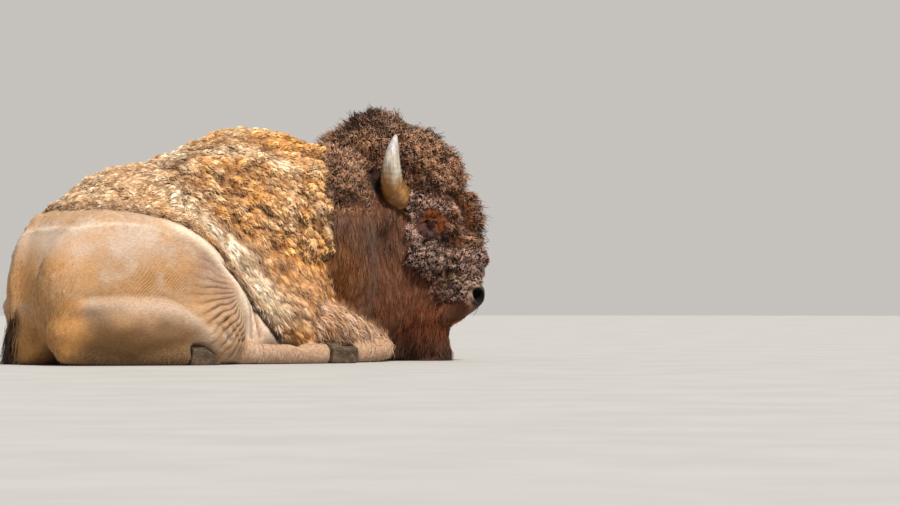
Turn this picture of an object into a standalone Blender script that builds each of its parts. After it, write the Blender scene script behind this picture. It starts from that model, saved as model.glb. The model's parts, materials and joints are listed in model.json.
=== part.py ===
"""A bull bison of the plains, lying on its breastbone with its legs folded and its head turned to its right.

It runs in Blender with: blender --background --python part.py
Metres, +Z up. The body faces +X, so its right side is on -Y. The floor is z = 0 and the origin is on it, below
the middle of the whole animal. Every solid reaches to the tips of the coat. Flesh is fused from named lumps,
thinned, and then parted into nodes by cuts that are GAP wide.
"""

import math

import bmesh
import bpy
import numpy as np
from mathutils import Euler, Matrix, Vector

# Driving dimensions.
GAP = 0.001  # between two parts that meet
SINK = 0.012  # how far the lying parts press below the floor before it cuts them flat
HEAD_TURN = math.radians(-38)  # the head points this far to the animal's right
POLL = (0.590, -0.105, 0.0)  # on the floor below the poll, where the head's own axes start
HEAD_AXES = Matrix.Translation(POLL) @ Matrix.Rotation(HEAD_TURN, 4, "Z")
WORLD_AXES = Matrix.Identity(4)

# How finely the two fused skins are made, and how many triangles each keeps.
BODY_VOXEL, BODY_TRIANGLES = 0.015, 1100
HEAD_VOXEL, HEAD_TRIANGLES = 0.009, 1340
LIMB_VOXEL, LIMB_TRIANGLES = 0.008, 100
HOOF_TRIANGLES = 90
HORN_RINGS, HORN_SIDES = 9, 9

# The trunk from buttock to breast: x, height of the back, half width, middle y, how low it is widest.
TRUNK = (
    (-0.970, 0.330, 0.050, -0.010, 1.0),
    (-0.945, 0.430, 0.140, -0.005, 1.0),
    (-0.870, 0.522, 0.215, 0.000, 1.0),
    (-0.750, 0.615, 0.260, 0.010, 1.0),
    (-0.580, 0.712, 0.290, 0.015, 1.1),
    (-0.420, 0.740, 0.325, 0.005, 1.3),
    (-0.260, 0.800, 0.350, 0.000, 1.5),
    (-0.040, 0.877, 0.365, 0.000, 1.6),
    (0.140, 0.852, 0.360, 0.000, 1.5),
    (0.280, 0.810, 0.320, -0.005, 1.3),
    (0.410, 0.730, 0.250, -0.010, 1.2),
    (0.480, 0.600, 0.140, -0.010, 1.1),
)

# Lumps of flesh and wool on the trunk: centre, half sizes, turn in degrees.
TRUNK_LUMPS = {
    "croup": ((-0.680, -0.060, 0.330), (0.290, 0.300, 0.285), (0, 10, 0)),
    "buttock_right": ((-0.800, -0.150, 0.240), (0.190, 0.190, 0.240), (0, 0, 0)),
    "haunch_right": ((-0.690, -0.215, 0.275), (0.340, 0.195, 0.290), (0, 0, 8)),
    "thigh_right": ((-0.510, -0.270, 0.265), (0.315, 0.170, 0.290), (0, 14, 8)),
    "stifle_right": ((-0.375, -0.355, 0.175), (0.150, 0.095, 0.190), (0, 20, 10)),
    "haunch_left": ((-0.590, 0.200, 0.210), (0.290, 0.170, 0.250), (0, 0, -6)),
    "stifle_left": ((-0.380, 0.290, 0.145), (0.190, 0.110, 0.165), (0, 20, -10)),
    "shoulder_right": ((0.090, -0.195, 0.400), (0.290, 0.165, 0.350), (0, 12, 0)),
    "shoulder_left": ((0.100, 0.195, 0.400), (0.290, 0.165, 0.350), (0, 12, 0)),
    "elbow_right": ((0.050, -0.300, 0.170), (0.180, 0.130, 0.170), (0, 10, 0)),
    "elbow_left": ((0.060, 0.300, 0.170), (0.180, 0.130, 0.170), (0, 10, 0)),
    "belly_right": ((-0.120, -0.190, 0.190), (0.340, 0.190, 0.220), (0, 0, 0)),
    "belly_left": ((-0.120, 0.200, 0.190), (0.340, 0.190, 0.220), (0, 0, 0)),
}
FLANK_FOLD = ((-0.300, -0.260, 0.380, 0.080), (-0.210, -0.300, 0.200, 0.085), (-0.190, -0.290, 0.060, 0.085))

# Lumps of the neck in world axes, and of the head in its own: x to the muzzle, y to its left.
NECK_LUMPS = {
    "crest": ((0.310, -0.040, 0.555), (0.255, 0.290, 0.280), (0, 0, -20)),
    "mane_right": ((0.260, -0.230, 0.430), (0.150, 0.180, 0.360), (0, -8, -20)),
    "mane_left": ((0.400, 0.110, 0.420), (0.200, 0.190, 0.340), (0, 0, 10)),
    "breast": ((0.420, -0.080, 0.220), (0.240, 0.250, 0.240), (0, 0, -15)),
}
HEAD_LUMPS = {
    "nape": ((-0.135, 0.000, 0.706), (0.174, 0.225, 0.206), (0, -15, 0)),
    "crown": ((-0.040, 0.000, 0.770), (0.170, 0.215, 0.195), (0, 0, 0)),
    "crown_front": ((0.080, 0.000, 0.710), (0.165, 0.205, 0.190), (0, 25, 0)),
    "forelock": ((0.125, 0.000, 0.625), (0.170, 0.185, 0.215), (0, 35, 0)),
    "brow": ((0.195, 0.000, 0.520), (0.175, 0.138, 0.210), (0, 0, 0)),
    "nose_wool": ((0.235, 0.000, 0.400), (0.130, 0.110, 0.150), (0, 0, 0)),
    "cheek_right": ((0.030, -0.100, 0.420), (0.160, 0.100, 0.190), (0, 25, 0)),
    "cheek_left": ((0.030, 0.100, 0.420), (0.160, 0.100, 0.190), (0, 25, 0)),
    "throat": ((0.020, 0.000, 0.240), (0.210, 0.170, 0.260), (0, 15, 0)),
    "muzzle": ((0.275, 0.000, 0.256), (0.092, 0.080, 0.076), (0, 40, 0)),
    "lips": ((0.250, 0.000, 0.202), (0.062, 0.060, 0.052), (0, 35, 0)),
}
FACE = ((0.080, 0.0, 0.560, 0.150), (0.210, 0.0, 0.390, 0.115), (0.275, 0.0, 0.285, 0.075))
JAW = ((0.020, 0.0, 0.330, 0.120), (0.170, 0.0, 0.215, 0.075), (0.240, 0.0, 0.175, 0.046))
BEARD = ((0.100, 0.0, 0.220, 0.120), (0.145, 0.0, 0.040, 0.100))

# Limbs that lie against the body: x, y, z and radius of each station.
SHANK_RIGHT = ((-0.400, -0.375, 0.115, 0.128), (-0.740, -0.335, 0.116, 0.128), (-0.930, -0.265, 0.105, 0.088))
LIMBS = {
    "hind_cannon_right": ((-0.945, -0.280, 0.055, 0.054), (-0.780, -0.370, 0.036, 0.042), (-0.560, -0.455, 0.036, 0.044)),
    "hind_cannon_left": ((-0.420, -0.340, 0.050, 0.050), (-0.180, -0.430, 0.036, 0.040), (0.050, -0.445, 0.034, 0.042)),
    "forearm_right": ((0.090, -0.310, 0.135, 0.110), (0.250, -0.290, 0.110, 0.090), (0.420, -0.230, 0.075, 0.064)),
    "forearm_left": ((0.080, 0.320, 0.130, 0.105), (0.270, 0.300, 0.110, 0.085), (0.500, 0.240, 0.075, 0.062)),
    "fore_cannon_right": ((0.420, -0.290, 0.048, 0.045), (0.300, -0.335, 0.034, 0.040), (0.230, -0.350, 0.034, 0.043)),
    "fore_cannon_left": ((0.500, 0.290, 0.048, 0.045), (0.330, 0.350, 0.034, 0.040), (0.240, 0.380, 0.034, 0.043)),
}
# A claw of a hoof: the share of the way to its toe, half width and height above the foot's middle.
HOOF_SECTIONS = ((-0.1, 0.022, 0.034), (0.45, 0.025, 0.036), (0.80, 0.021, 0.014), (1.0, 0.010, -0.010))
TOES = {
    "hind_cannon_right": ((-0.440, -0.475, 0.022), 20),
    "hind_cannon_left": ((0.172, -0.450, 0.022), 20),
    "fore_cannon_right": ((0.112, -0.350, 0.024), -20),
    "fore_cannon_left": ((0.118, 0.395, 0.024), 20),
}
TAIL = (
    (-0.880, -0.005, 0.505, 0.038),
    (-0.950, 0.005, 0.420, 0.030),
    (-0.974, 0.020, 0.300, 0.025),
    (-0.972, 0.030, 0.180, 0.021),
)
TAIL_TUFT = ((-0.972, 0.030, 0.180, 0.025), (-0.965, 0.045, 0.090, 0.034), (-0.955, 0.080, 0.028, 0.034))


def clear_scene():
    for obj in list(bpy.data.objects):
        bpy.data.objects.remove(obj)


def spline(stations, count):
    """Points on a smooth curve through the stations, every value of a station at once."""
    knots = np.array(stations, float)
    knots = np.vstack([2 * knots[0] - knots[1], knots, 2 * knots[-1] - knots[-2]])
    spans = len(knots) - 3
    points = []
    for t in np.linspace(0, spans, count):
        i = min(int(t), spans - 1)
        f = t - i
        a, b, c, d = knots[i : i + 4]
        bend = (2 * a - 5 * b + 4 * c - d) * f**2 + (3 * b - a - 3 * c + d) * f**3
        points.append((b + 0.5 * ((c - a) * f + bend)).tolist())
    return points


def loft(bm, rings):
    """A closed body through rings that all have the same number of points."""
    rows = [[bm.verts.new(point) for point in ring] for ring in rings]
    for low, high in zip(rows, rows[1:]):
        for i in range(len(low)):
            j = (i + 1) % len(low)
            bm.faces.new((low[i], low[j], high[j], high[i]))
    bm.faces.new(rows[0][::-1])
    bm.faces.new(rows[-1])


def add_trunk(bm):
    rings = []
    for x, top, half, middle, low in spline(TRUNK, 48):
        ring = []
        for a in np.linspace(0, math.tau, 40, endpoint=False):
            rise = ((1 - math.cos(a)) / 2) ** low
            side = math.copysign(abs(math.sin(a)) ** 0.85, math.sin(a))
            ring.append((x, middle - half * side, -SINK + (top + SINK) * rise))
        rings.append(ring)
    loft(bm, rings)


def add_lump(bm, centre, half, turn, axes=WORLD_AXES, fineness=4):
    turned = Euler([math.radians(angle) for angle in turn]).to_matrix().to_4x4()
    place = axes @ Matrix.Translation(centre) @ turned @ Matrix.Diagonal((*half, 1))
    bmesh.ops.create_icosphere(bm, subdivisions=fineness, radius=1, matrix=place)


def add_hull(bm, points):
    """The tightest convex body round the points."""
    hull = bmesh.new()
    for point in points:
        hull.verts.new(point)
    bmesh.ops.convex_hull(hull, input=hull.verts)
    loose = [v for v in hull.verts if not v.link_faces]
    bmesh.ops.delete(hull, geom=loose, context="VERTS")
    mesh = bpy.data.meshes.new("hull")
    hull.to_mesh(mesh)
    hull.free()
    bm.from_mesh(mesh)
    bpy.data.meshes.remove(mesh)


def add_limb(bm, stations, axes=WORLD_AXES):
    """Tapered capsules end to end: each station is x, y, z and radius."""
    ball = bmesh.new()
    bmesh.ops.create_icosphere(ball, subdivisions=3, radius=1)
    directions = [v.co.copy() for v in ball.verts]
    ball.free()
    for pair in zip(stations, stations[1:]):
        add_hull(bm, [axes @ (Vector((x, y, z)) + r * way) for x, y, z, r in pair for way in directions])


def new_object(name, bm):
    bmesh.ops.recalc_face_normals(bm, faces=bm.faces)
    bmesh.ops.triangulate(bm, faces=bm.faces)
    mesh = bpy.data.meshes.new(name)
    bm.to_mesh(mesh)
    bm.free()
    obj = bpy.data.objects.new(name, mesh)
    bpy.context.scene.collection.objects.link(obj)
    return obj


def copy_of(obj, name):
    twin = bpy.data.objects.new(name, obj.data.copy())
    bpy.context.scene.collection.objects.link(twin)
    return twin


def settle(obj):
    """Applies the object's modifiers."""
    graph = bpy.context.evaluated_depsgraph_get()
    mesh = bpy.data.meshes.new_from_object(obj.evaluated_get(graph))
    obj.modifiers.clear()
    obj.data = mesh


def fuse(obj, voxel, rounds, triangles):
    """Makes one skin of the lumps, smooths where they meet, and thins it to about so many triangles."""
    remesh = obj.modifiers.new("fuse", "REMESH")
    remesh.mode = "VOXEL"
    remesh.voxel_size = voxel
    smooth = obj.modifiers.new("smooth", "SMOOTH")
    smooth.factor = 0.5
    smooth.iterations = rounds
    settle(obj)
    thin = obj.modifiers.new("thin", "DECIMATE")
    thin.ratio = triangles / (2 * len(obj.data.polygons))
    settle(obj)


def boolean(obj, tool, operation):
    cut = obj.modifiers.new("cut", "BOOLEAN")
    cut.operation = operation
    cut.solver = "EXACT"
    cut.object = tool
    settle(obj)


def grown(obj):
    """A copy that is GAP bigger all round, to cut its neighbours with."""
    tool = copy_of(obj, obj.name + "_tool")
    swell = tool.modifiers.new("swell", "DISPLACE")
    swell.strength = GAP
    swell.mid_level = 0
    settle(tool)
    return tool


def remove(*objects):
    for obj in objects:
        bpy.data.objects.remove(obj)


def carve(obj, *others):
    """Takes the others, each with GAP round it, out of the object."""
    for other in others:
        tool = grown(other)
        boolean(obj, tool, "DIFFERENCE")
        remove(tool)


def split(rest, name, region):
    """Makes a node of what the region holds of rest, and leaves the remainder in rest."""
    node = copy_of(rest, name)
    boolean(node, region, "INTERSECT")
    carve(rest, region)
    remove(region)
    return node


def ball_region(centre, half, turn=(0, 0, 0), axes=WORLD_AXES, fineness=3):
    bm = bmesh.new()
    add_lump(bm, centre, half, turn, axes, fineness)
    return new_object("region", bm)


def disc_region(x, z, half_x, half_z, inner, outer, sides=28):
    """An oval seen from the animal's side, cut straight in from y = outer to y = inner."""
    bm = bmesh.new()
    ring = [math.tau * k / sides for k in range(sides)]
    rings = [[(x + half_x * math.cos(a), y, z + half_z * math.sin(a)) for a in ring] for y in (inner, outer)]
    loft(bm, rings)
    return new_object("region", bm)


def hull_region(obj):
    """The tightest convex body round the object."""
    bm = bmesh.new()
    add_hull(bm, [v.co for v in obj.data.vertices])
    return new_object("region", bm)


def slab_region(point, normal, axes=WORLD_AXES, reach=1.6):
    """A block on the side of a plane that its normal points to."""
    bm = bmesh.new()
    turn = Vector(normal).to_track_quat("Z", "Y").to_matrix().to_4x4()
    place = axes @ Matrix.Translation(point) @ turn @ Matrix.Translation((0, 0, reach))
    bmesh.ops.create_cube(bm, size=2 * reach, matrix=place)
    return new_object("region", bm)


def make_limb(name, stations):
    bm = bmesh.new()
    add_limb(bm, stations)
    obj = new_object(name, bm)
    fuse(obj, LIMB_VOXEL, 4, LIMB_TRIANGLES)
    return obj


def make_horn(side):
    """side is -1 for the right horn and 1 for the left."""
    path = (
        (0.045, side * 0.080, 0.596, 0.046),
        (0.034, side * 0.150, 0.604, 0.047),
        (0.012, side * 0.215, 0.650, 0.043),
        (0.008, side * 0.242, 0.715, 0.035),
        (0.012, side * 0.236, 0.775, 0.024),
        (0.020, side * 0.212, 0.822, 0.011),
        (0.024, side * 0.200, 0.838, 0.003),
    )
    rings = []
    angles = [math.tau * k / HORN_SIDES for k in range(HORN_SIDES)]
    points = spline(path, HORN_RINGS)
    for i, (x, y, z, r) in enumerate(points):
        ahead = Vector(points[min(i + 1, HORN_RINGS - 1)][:3]) - Vector(points[max(i - 1, 0)][:3])
        across = ahead.cross(Vector((1, 0, 0))).normalized()
        front = across.cross(ahead).normalized()
        ring = [Vector((x, y, z)) + r * (math.cos(a) * front + math.sin(a) * across) for a in angles]
        rings.append([HEAD_AXES @ point for point in ring])
    bm = bmesh.new()
    loft(bm, rings)
    return new_object("horn_" + ("right" if side < 0 else "left"), bm)


def make_eye(side):
    bm = bmesh.new()
    add_lump(bm, (0.152, side * 0.142, 0.515), (0.021, 0.021, 0.021), (0, 0, 0), HEAD_AXES, fineness=2)
    return new_object("eye_" + ("right" if side < 0 else "left"), bm)


def make_ear(side):
    bm = bmesh.new()
    place = (-0.002, side * 0.200, 0.532)
    add_lump(bm, place, (0.024, 0.074, 0.042), (side * -25, 10, side * 25), HEAD_AXES, fineness=2)
    return new_object("ear_" + ("right" if side < 0 else "left"), bm)


def make_tail():
    tail = make_limb("tail", TAIL)
    tuft = make_limb("tail_tuft", TAIL_TUFT)
    return tail, tuft


def foot_axes(heel, toe, roll):
    """Axes at the heel, with x to the toe, rolled about that line by so many degrees."""
    turn = (Vector(toe) - Vector(heel)).to_track_quat("X", "Z").to_matrix().to_4x4()
    return Matrix.Translation(heel) @ turn @ Matrix.Rotation(math.radians(roll), 4, "X")


def make_hoof(name, length, axes):
    """Two claws side by side on the end of a limb."""
    bm = bmesh.new()
    for side in (-1, 1):
        points = []
        for share, half, top in HOOF_SECTIONS:
            x, middle = share * length, side * (0.0225 - 0.006 * share)
            for y in (-half, half):
                points.append(axes @ Vector((x, middle + y, -0.030)))
                points.append(axes @ Vector((x, middle + 0.6 * y, top)))
        add_hull(bm, points)
    hoof = new_object(name, bm)
    fuse(hoof, 0.005, 2, HOOF_TRIANGLES)
    return hoof


def cut_coronet(limb, hoof, axes):
    """Ends the limb where its hoof begins."""
    ahead = slab_region((0, 0, 0), (1, 0, 0), axes, reach=0.2)
    behind = slab_region((GAP, 0, 0), (-1, 0, 0), axes, reach=0.2)
    boolean(limb, ahead, "DIFFERENCE")
    boolean(hoof, behind, "DIFFERENCE")
    remove(ahead, behind)


def give_material(obj, name, colour, roughness):
    material = bpy.data.materials.get(name) or bpy.data.materials.new(name)
    material.use_nodes = True
    shader = material.node_tree.nodes["Principled BSDF"]
    shader.inputs["Base Color"].default_value = (*colour, 1)
    shader.inputs["Roughness"].default_value = roughness
    obj.data.materials.clear()
    obj.data.materials.append(material)


def make_body():
    bm = bmesh.new()
    add_trunk(bm)
    for centre, half, turn in TRUNK_LUMPS.values():
        add_lump(bm, centre, half, turn)
    add_limb(bm, SHANK_RIGHT)
    add_limb(bm, FLANK_FOLD)
    body = new_object("trunk", bm)
    fuse(body, BODY_VOXEL, 10, BODY_TRIANGLES)
    return body


def make_head():
    bm = bmesh.new()
    for centre, half, turn in NECK_LUMPS.values():
        add_lump(bm, centre, half, turn)
    for centre, half, turn in HEAD_LUMPS.values():
        add_lump(bm, centre, half, turn, HEAD_AXES)
    for stations in (FACE, JAW, BEARD):
        add_limb(bm, stations, HEAD_AXES)
    head = new_object("head", bm)
    fuse(head, HEAD_VOXEL, 6, HEAD_TRIANGLES)
    return head


def part_body(body):
    """Divides the trunk's skin into nodes, from the legs inwards, and returns them all."""
    nodes = [
        split(body, "shank_hind_right", disc_region(-0.670, 0.090, 0.420, 0.150, -0.210, -0.800)),
        split(body, "thigh_right", disc_region(-0.620, 0.230, 0.440, 0.345, -0.170, -0.800)),
        split(body, "thigh_left", disc_region(-0.600, 0.150, 0.420, 0.310, 0.170, 0.800)),
        split(body, "shoulder_right", disc_region(0.070, 0.330, 0.190, 0.290, -0.240, -0.800)),
        split(body, "shoulder_left", disc_region(0.080, 0.330, 0.190, 0.290, 0.240, 0.800)),
        split(body, "rump", slab_region((-0.500, 0, 0.5), (-1, 0, 0.15))),
        split(body, "hump", slab_region((-0.380, 0, 0.680), (0.25, 0, 1))),
    ]
    return [*nodes, body]


def part_head(head):
    """Divides the skin of head and neck into nodes and returns them all."""
    nodes = [
        split(head, "neck", slab_region((-0.120, 0, 0.600), (-1, 0, -0.22), HEAD_AXES)),
        split(head, "mop", slab_region((0.030, 0, 0.665), (0.25, 0, 1), HEAD_AXES)),
        split(head, "beard", slab_region((0.120, 0, 0.150), (0.30, 0, -1), HEAD_AXES)),
        split(head, "muzzle", slab_region((0.215, 0, 0.320), (0.85, 0, -0.55), HEAD_AXES)),
    ]
    return [*nodes, head]


def centre_on_floor(nodes):
    """Moves every node so that the origin is below the middle of them all."""
    bpy.context.view_layer.update()
    corners = [obj.matrix_world @ v.co for obj in nodes for v in obj.data.vertices]
    middle = [(min(p[i] for p in corners) + max(p[i] for p in corners)) / 2 for i in (0, 1)]
    for obj in nodes:
        obj.data.transform(Matrix.Translation((-middle[0], -middle[1], 0)))


def main():
    clear_scene()
    body = make_body()
    head = make_head()
    horns = [make_horn(side) for side in (-1, 1)]
    eyes = [make_eye(side) for side in (-1, 1)]
    ears = [make_ear(side) for side in (-1, 1)]
    tail, tuft = make_tail()
    limbs = {name: make_limb(name, stations) for name, stations in LIMBS.items()}
    hooves, feet = {}, {}
    for name, (toe, roll) in TOES.items():
        heel = LIMBS[name][-1][:3]
        feet[name] = foot_axes(heel, toe, roll)
        length = (Vector(toe) - Vector(heel)).length
        hooves[name] = make_hoof(name.replace("cannon", "hoof"), length, feet[name])

    # Each cutter is a whole, simple body, so what is cut itself is cut last.
    floor = slab_region((0, 0, 0), (0, 0, -1), reach=3)
    for obj in (body, head, tuft):
        boolean(obj, floor, "DIFFERENCE")
    claws = {name: hull_region(hoof) for name, hoof in hooves.items()}
    carve(body, *limbs.values(), *claws.values(), tail, tuft)
    carve(head, *horns, *eyes, *ears)
    carve(head, *[limb for name, limb in limbs.items() if name.startswith("fore")])
    for ear, horn in zip(ears, horns):
        carve(ear, horn)
    for side in ("right", "left"):
        cannon = "fore_cannon_" + side
        carve(limbs["forearm_" + side], limbs[cannon], claws[cannon])
    carve(tuft, tail)
    for name, hoof in hooves.items():
        cut_coronet(limbs[name], hoof, feet[name])
    for obj in (*limbs.values(), *hooves.values()):
        boolean(obj, floor, "DIFFERENCE")
    remove(floor, *claws.values())

    mane_edge = ball_region((-0.600, 0.020, 0.400), (0.920, 0.620, 1.600), fineness=3)
    boolean(body, mane_edge, "INTERSECT")
    carve(head, mane_edge)
    remove(mane_edge)
    tans = [*part_body(body), *limbs.values(), tail]
    browns = [*part_head(head), *ears, tuft]
    for obj in tans:
        give_material(obj, "tan_wool", (0.50, 0.31, 0.14), 0.9)
    for obj in browns:
        give_material(obj, "brown_mane", (0.16, 0.08, 0.04), 0.95)
    for obj in (*horns, *hooves.values()):
        give_material(obj, "horn", (0.42, 0.34, 0.22), 0.45)
    for obj in eyes:
        give_material(obj, "eye", (0.02, 0.01, 0.01), 0.05)
    centre_on_floor([*tans, *browns, *horns, *hooves.values(), *eyes])


main()
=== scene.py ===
import itertools
import json
import math

import bmesh
import bpy
import numpy as np
from mathutils import Matrix, Vector
from mathutils.bvhtree import BVHTree

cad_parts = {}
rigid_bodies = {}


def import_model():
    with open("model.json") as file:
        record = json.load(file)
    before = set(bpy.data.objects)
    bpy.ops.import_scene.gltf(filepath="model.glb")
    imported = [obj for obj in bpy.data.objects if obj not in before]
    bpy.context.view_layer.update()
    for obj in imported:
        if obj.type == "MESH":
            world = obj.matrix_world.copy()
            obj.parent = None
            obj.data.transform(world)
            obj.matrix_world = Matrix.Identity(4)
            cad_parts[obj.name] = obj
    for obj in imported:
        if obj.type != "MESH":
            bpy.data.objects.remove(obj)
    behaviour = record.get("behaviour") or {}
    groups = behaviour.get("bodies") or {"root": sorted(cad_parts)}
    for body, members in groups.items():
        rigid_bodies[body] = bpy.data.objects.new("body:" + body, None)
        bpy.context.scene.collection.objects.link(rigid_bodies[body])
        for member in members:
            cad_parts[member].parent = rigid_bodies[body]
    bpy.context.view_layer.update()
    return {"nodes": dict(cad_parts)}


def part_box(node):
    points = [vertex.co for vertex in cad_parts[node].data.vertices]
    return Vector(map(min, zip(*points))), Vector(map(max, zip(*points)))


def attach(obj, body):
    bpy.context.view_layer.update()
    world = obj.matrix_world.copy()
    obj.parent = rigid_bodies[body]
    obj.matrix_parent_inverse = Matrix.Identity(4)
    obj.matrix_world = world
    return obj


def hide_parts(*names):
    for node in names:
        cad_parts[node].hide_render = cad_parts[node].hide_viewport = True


for leftover in list(bpy.data.objects):
    bpy.data.objects.remove(leftover)
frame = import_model()


# The body's axes lie along the frame's. The head's start on the floor under the poll, with x to the muzzle
# and y to the animal's left.
headTurn = Matrix.Rotation(math.radians(-38), 4, "Z")
eyeInHead = Vector((0.152, -0.142, 0.515))
pollInBody = Vector((0.590, -0.105, 0.0))
eyeLow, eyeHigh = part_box("eye_right")
poll = (eyeLow + eyeHigh) / 2 - headTurn @ eyeInHead
bodyStart = poll - pollInBody
headAxes = Matrix.Translation(poll) @ headTurn
turnRows = np.array(headTurn)[:3, :3]


def toHead(points):
    return (points - np.array(poll)) @ turnRows


def fromHead(points):
    return points @ turnRows.T + np.array(poll)


def toBody(points):
    return points - np.array(bodyStart)


def unit(vectors):
    return vectors / np.maximum(np.linalg.norm(vectors, axis=-1, keepdims=True), 1e-9)


def ease(values, low, high):
    # rises smoothly from 0 at low to 1 at high
    t = np.clip((values - low) / (high - low), 0, 1)
    return t * t * (3 - 2 * t)


def blend(a, b, share):
    return a + (b - a) * share


def bell(values, middle, width):
    # 1 at the middle, falling off over the width
    return np.exp(-(((values - middle) / width) ** 2))


def nearSpot(points, x, z, halfX, halfZ):
    return np.exp(-(((points[:, 0] - x) / halfX) ** 2) - ((points[:, 2] - z) / halfZ) ** 2)


def nearSpots(points, spots):
    return sum(nearSpot(points, *spot) for spot in spots)


def oval(points, centre, half):
    # under 1 inside, for axes where half is given
    offset = [(points[:, i] - centre[i]) / half[i] for i in range(3) if half[i]]
    return np.sqrt(sum(part**2 for part in offset))


def lattice(cell, seed):
    n = cell[..., 0] * 73856093 ^ cell[..., 1] * 19349663 ^ cell[..., 2] * 83492791 ^ seed * 668265263
    n = (n ^ (n >> 13)) * 1274126177
    n = n ^ (n >> 16)
    return (n & 0xFFFFF) / 0xFFFFF


def noise(points, size, seed):
    # smooth values from -1 to 1 that change over about this size
    scaled = points / size
    low = np.floor(scaled).astype(np.int64)
    f = scaled - low
    f = f * f * (3 - 2 * f)
    total = 0
    for corner in itertools.product((0, 1), repeat=3):
        weight = np.prod(np.where(corner, f, 1 - f), axis=-1)
        total = total + weight * lattice(low + corner, seed)
    return 2 * total - 1


def cells(points, size, seed):
    # distances to the two nearest of scattered centres, the nearest centre and its own chance value
    scaled = points / size
    low = np.floor(scaled).astype(np.int64)
    first = np.full(len(points), 9.0)
    second = first.copy()
    centre = np.zeros_like(scaled)
    chance = np.zeros(len(points))
    for corner in itertools.product((-1, 0, 1), repeat=3):
        cell = low + corner
        spot = cell + np.stack([lattice(cell, seed + k) for k in range(3)], -1)
        away = np.linalg.norm(scaled - spot, axis=1)
        nearer = away < first
        second = np.where(nearer, first, np.minimum(second, away))
        first = np.where(nearer, away, first)
        centre[nearer] = spot[nearer]
        chance[nearer] = lattice(cell, seed + 5)[nearer]
    return first * size, second * size, centre * size, chance


def newObject(name, mesh):
    obj = bpy.data.objects.new(name, mesh)
    bpy.context.scene.collection.objects.link(obj)
    return obj


def settle(obj):
    graph = bpy.context.evaluated_depsgraph_get()
    mesh = bpy.data.meshes.new_from_object(obj.evaluated_get(graph))
    obj.modifiers.clear()
    obj.data = mesh


def remeshed(obj, voxel, rounds):
    remesh = obj.modifiers.new("fuse", "REMESH")
    remesh.mode = "VOXEL"
    remesh.voxel_size = voxel
    smooth = obj.modifiers.new("smooth", "SMOOTH")
    smooth.factor = 0.5
    smooth.iterations = rounds
    settle(obj)
    return obj


def pointsOf(mesh):
    flat = np.empty(len(mesh.vertices) * 3, np.float32)
    mesh.vertices.foreach_get("co", flat)
    return flat.reshape(-1, 3).astype(float)


def normalsOf(mesh):
    flat = np.empty(len(mesh.vertices) * 3, np.float32)
    mesh.vertex_normals.foreach_get("vector", flat)
    return flat.reshape(-1, 3).astype(float)


def setPoints(mesh, points):
    mesh.vertices.foreach_set("co", points.astype(np.float32).ravel())
    mesh.update()


def shadeSmooth(mesh):
    mesh.polygons.foreach_set("use_smooth", np.ones(len(mesh.polygons), bool))


def edgesOf(mesh):
    flat = np.empty(len(mesh.edges) * 2, np.int32)
    mesh.edges.foreach_get("vertices", flat)
    return flat.reshape(-1, 2)


def blurred(values, edges, rounds):
    # evens values out over the mesh
    a, b = edges[:, 0], edges[:, 1]
    count = len(values)
    share = np.maximum(np.bincount(a, minlength=count) + np.bincount(b, minlength=count), 1)
    for _ in range(rounds):
        total = np.bincount(a, values[b], count) + np.bincount(b, values[a], count)
        values = (values + total / share) / 2
    return values


print("stage: tools ready")

# One skin is fused from all the flesh, then moved in by the coat's depth.
skinSize = {
    "voxel": 0.0104,
    "smoothRounds": 8,
    "swell": 0.0012,  # closes the cuts between the solids
    # balls that close the roots of the horns: x, y, z and radius in the head's axes
    "hornPlugs": ((0.040, 0.120, 0.600, 0.060), (0.030, 0.165, 0.607, 0.045)),
    "floorGap": 0.0008,
}
hardParts = ("hoof", "horn")


def isFlesh(name):
    return not any(part in name for part in hardParts)


def fuseSkin():
    bm = bmesh.new()
    for name, node in frame["nodes"].items():
        if isFlesh(name):
            bm.from_mesh(node.data)
    bmesh.ops.remove_doubles(bm, verts=bm.verts, dist=1e-5)
    bm.normal_update()
    for vert in bm.verts:
        vert.co += vert.normal * skinSize["swell"]
    for side in (-1, 1):
        for x, y, z, radius in skinSize["hornPlugs"]:
            place = headAxes @ Matrix.Translation((x, side * y, z))
            bmesh.ops.create_icosphere(bm, subdivisions=3, radius=radius, matrix=place)
    mesh = bpy.data.meshes.new("skin")
    bm.to_mesh(mesh)
    bm.free()
    return remeshed(newObject("skin", mesh), skinSize["voxel"], skinSize["smoothRounds"])


skin = fuseSkin()
print("stage: skin fused,", len(skin.data.polygons), "faces")


def nearestNode(points):
    # which solid each point of the skin comes from
    spots, faces, owner = [], [], []
    names = [name for name in frame["nodes"] if isFlesh(name)]
    for index, name in enumerate(names):
        mesh = frame["nodes"][name].data
        start = len(spots)
        spots += [v.co.copy() for v in mesh.vertices]
        faces += [[start + i for i in face.vertices] for face in mesh.polygons]
        owner += [index] * len(mesh.polygons)
    tree = BVHTree.FromPolygons(spots, faces)
    found = [owner[tree.find_nearest(point)[2]] for point in points.tolist()]
    return names, np.array(found)


class Fields:
    # named shares, colours and directions over the skin's points

    def __init__(self, mesh, blurRounds):
        self.points = pointsOf(mesh)
        self.normals = normalsOf(mesh)
        self.edges = edgesOf(mesh)
        self.head = toHead(self.points)
        self.body = toBody(self.points)
        names, found = nearestNode(self.points)
        self.share = {}
        for index, name in enumerate(names):
            self.share[name] = blurred((found == index).astype(float), self.edges, blurRounds)

    def of(self, *names):
        return np.clip(sum(self.share[name] for name in names), 0, 1)


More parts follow.
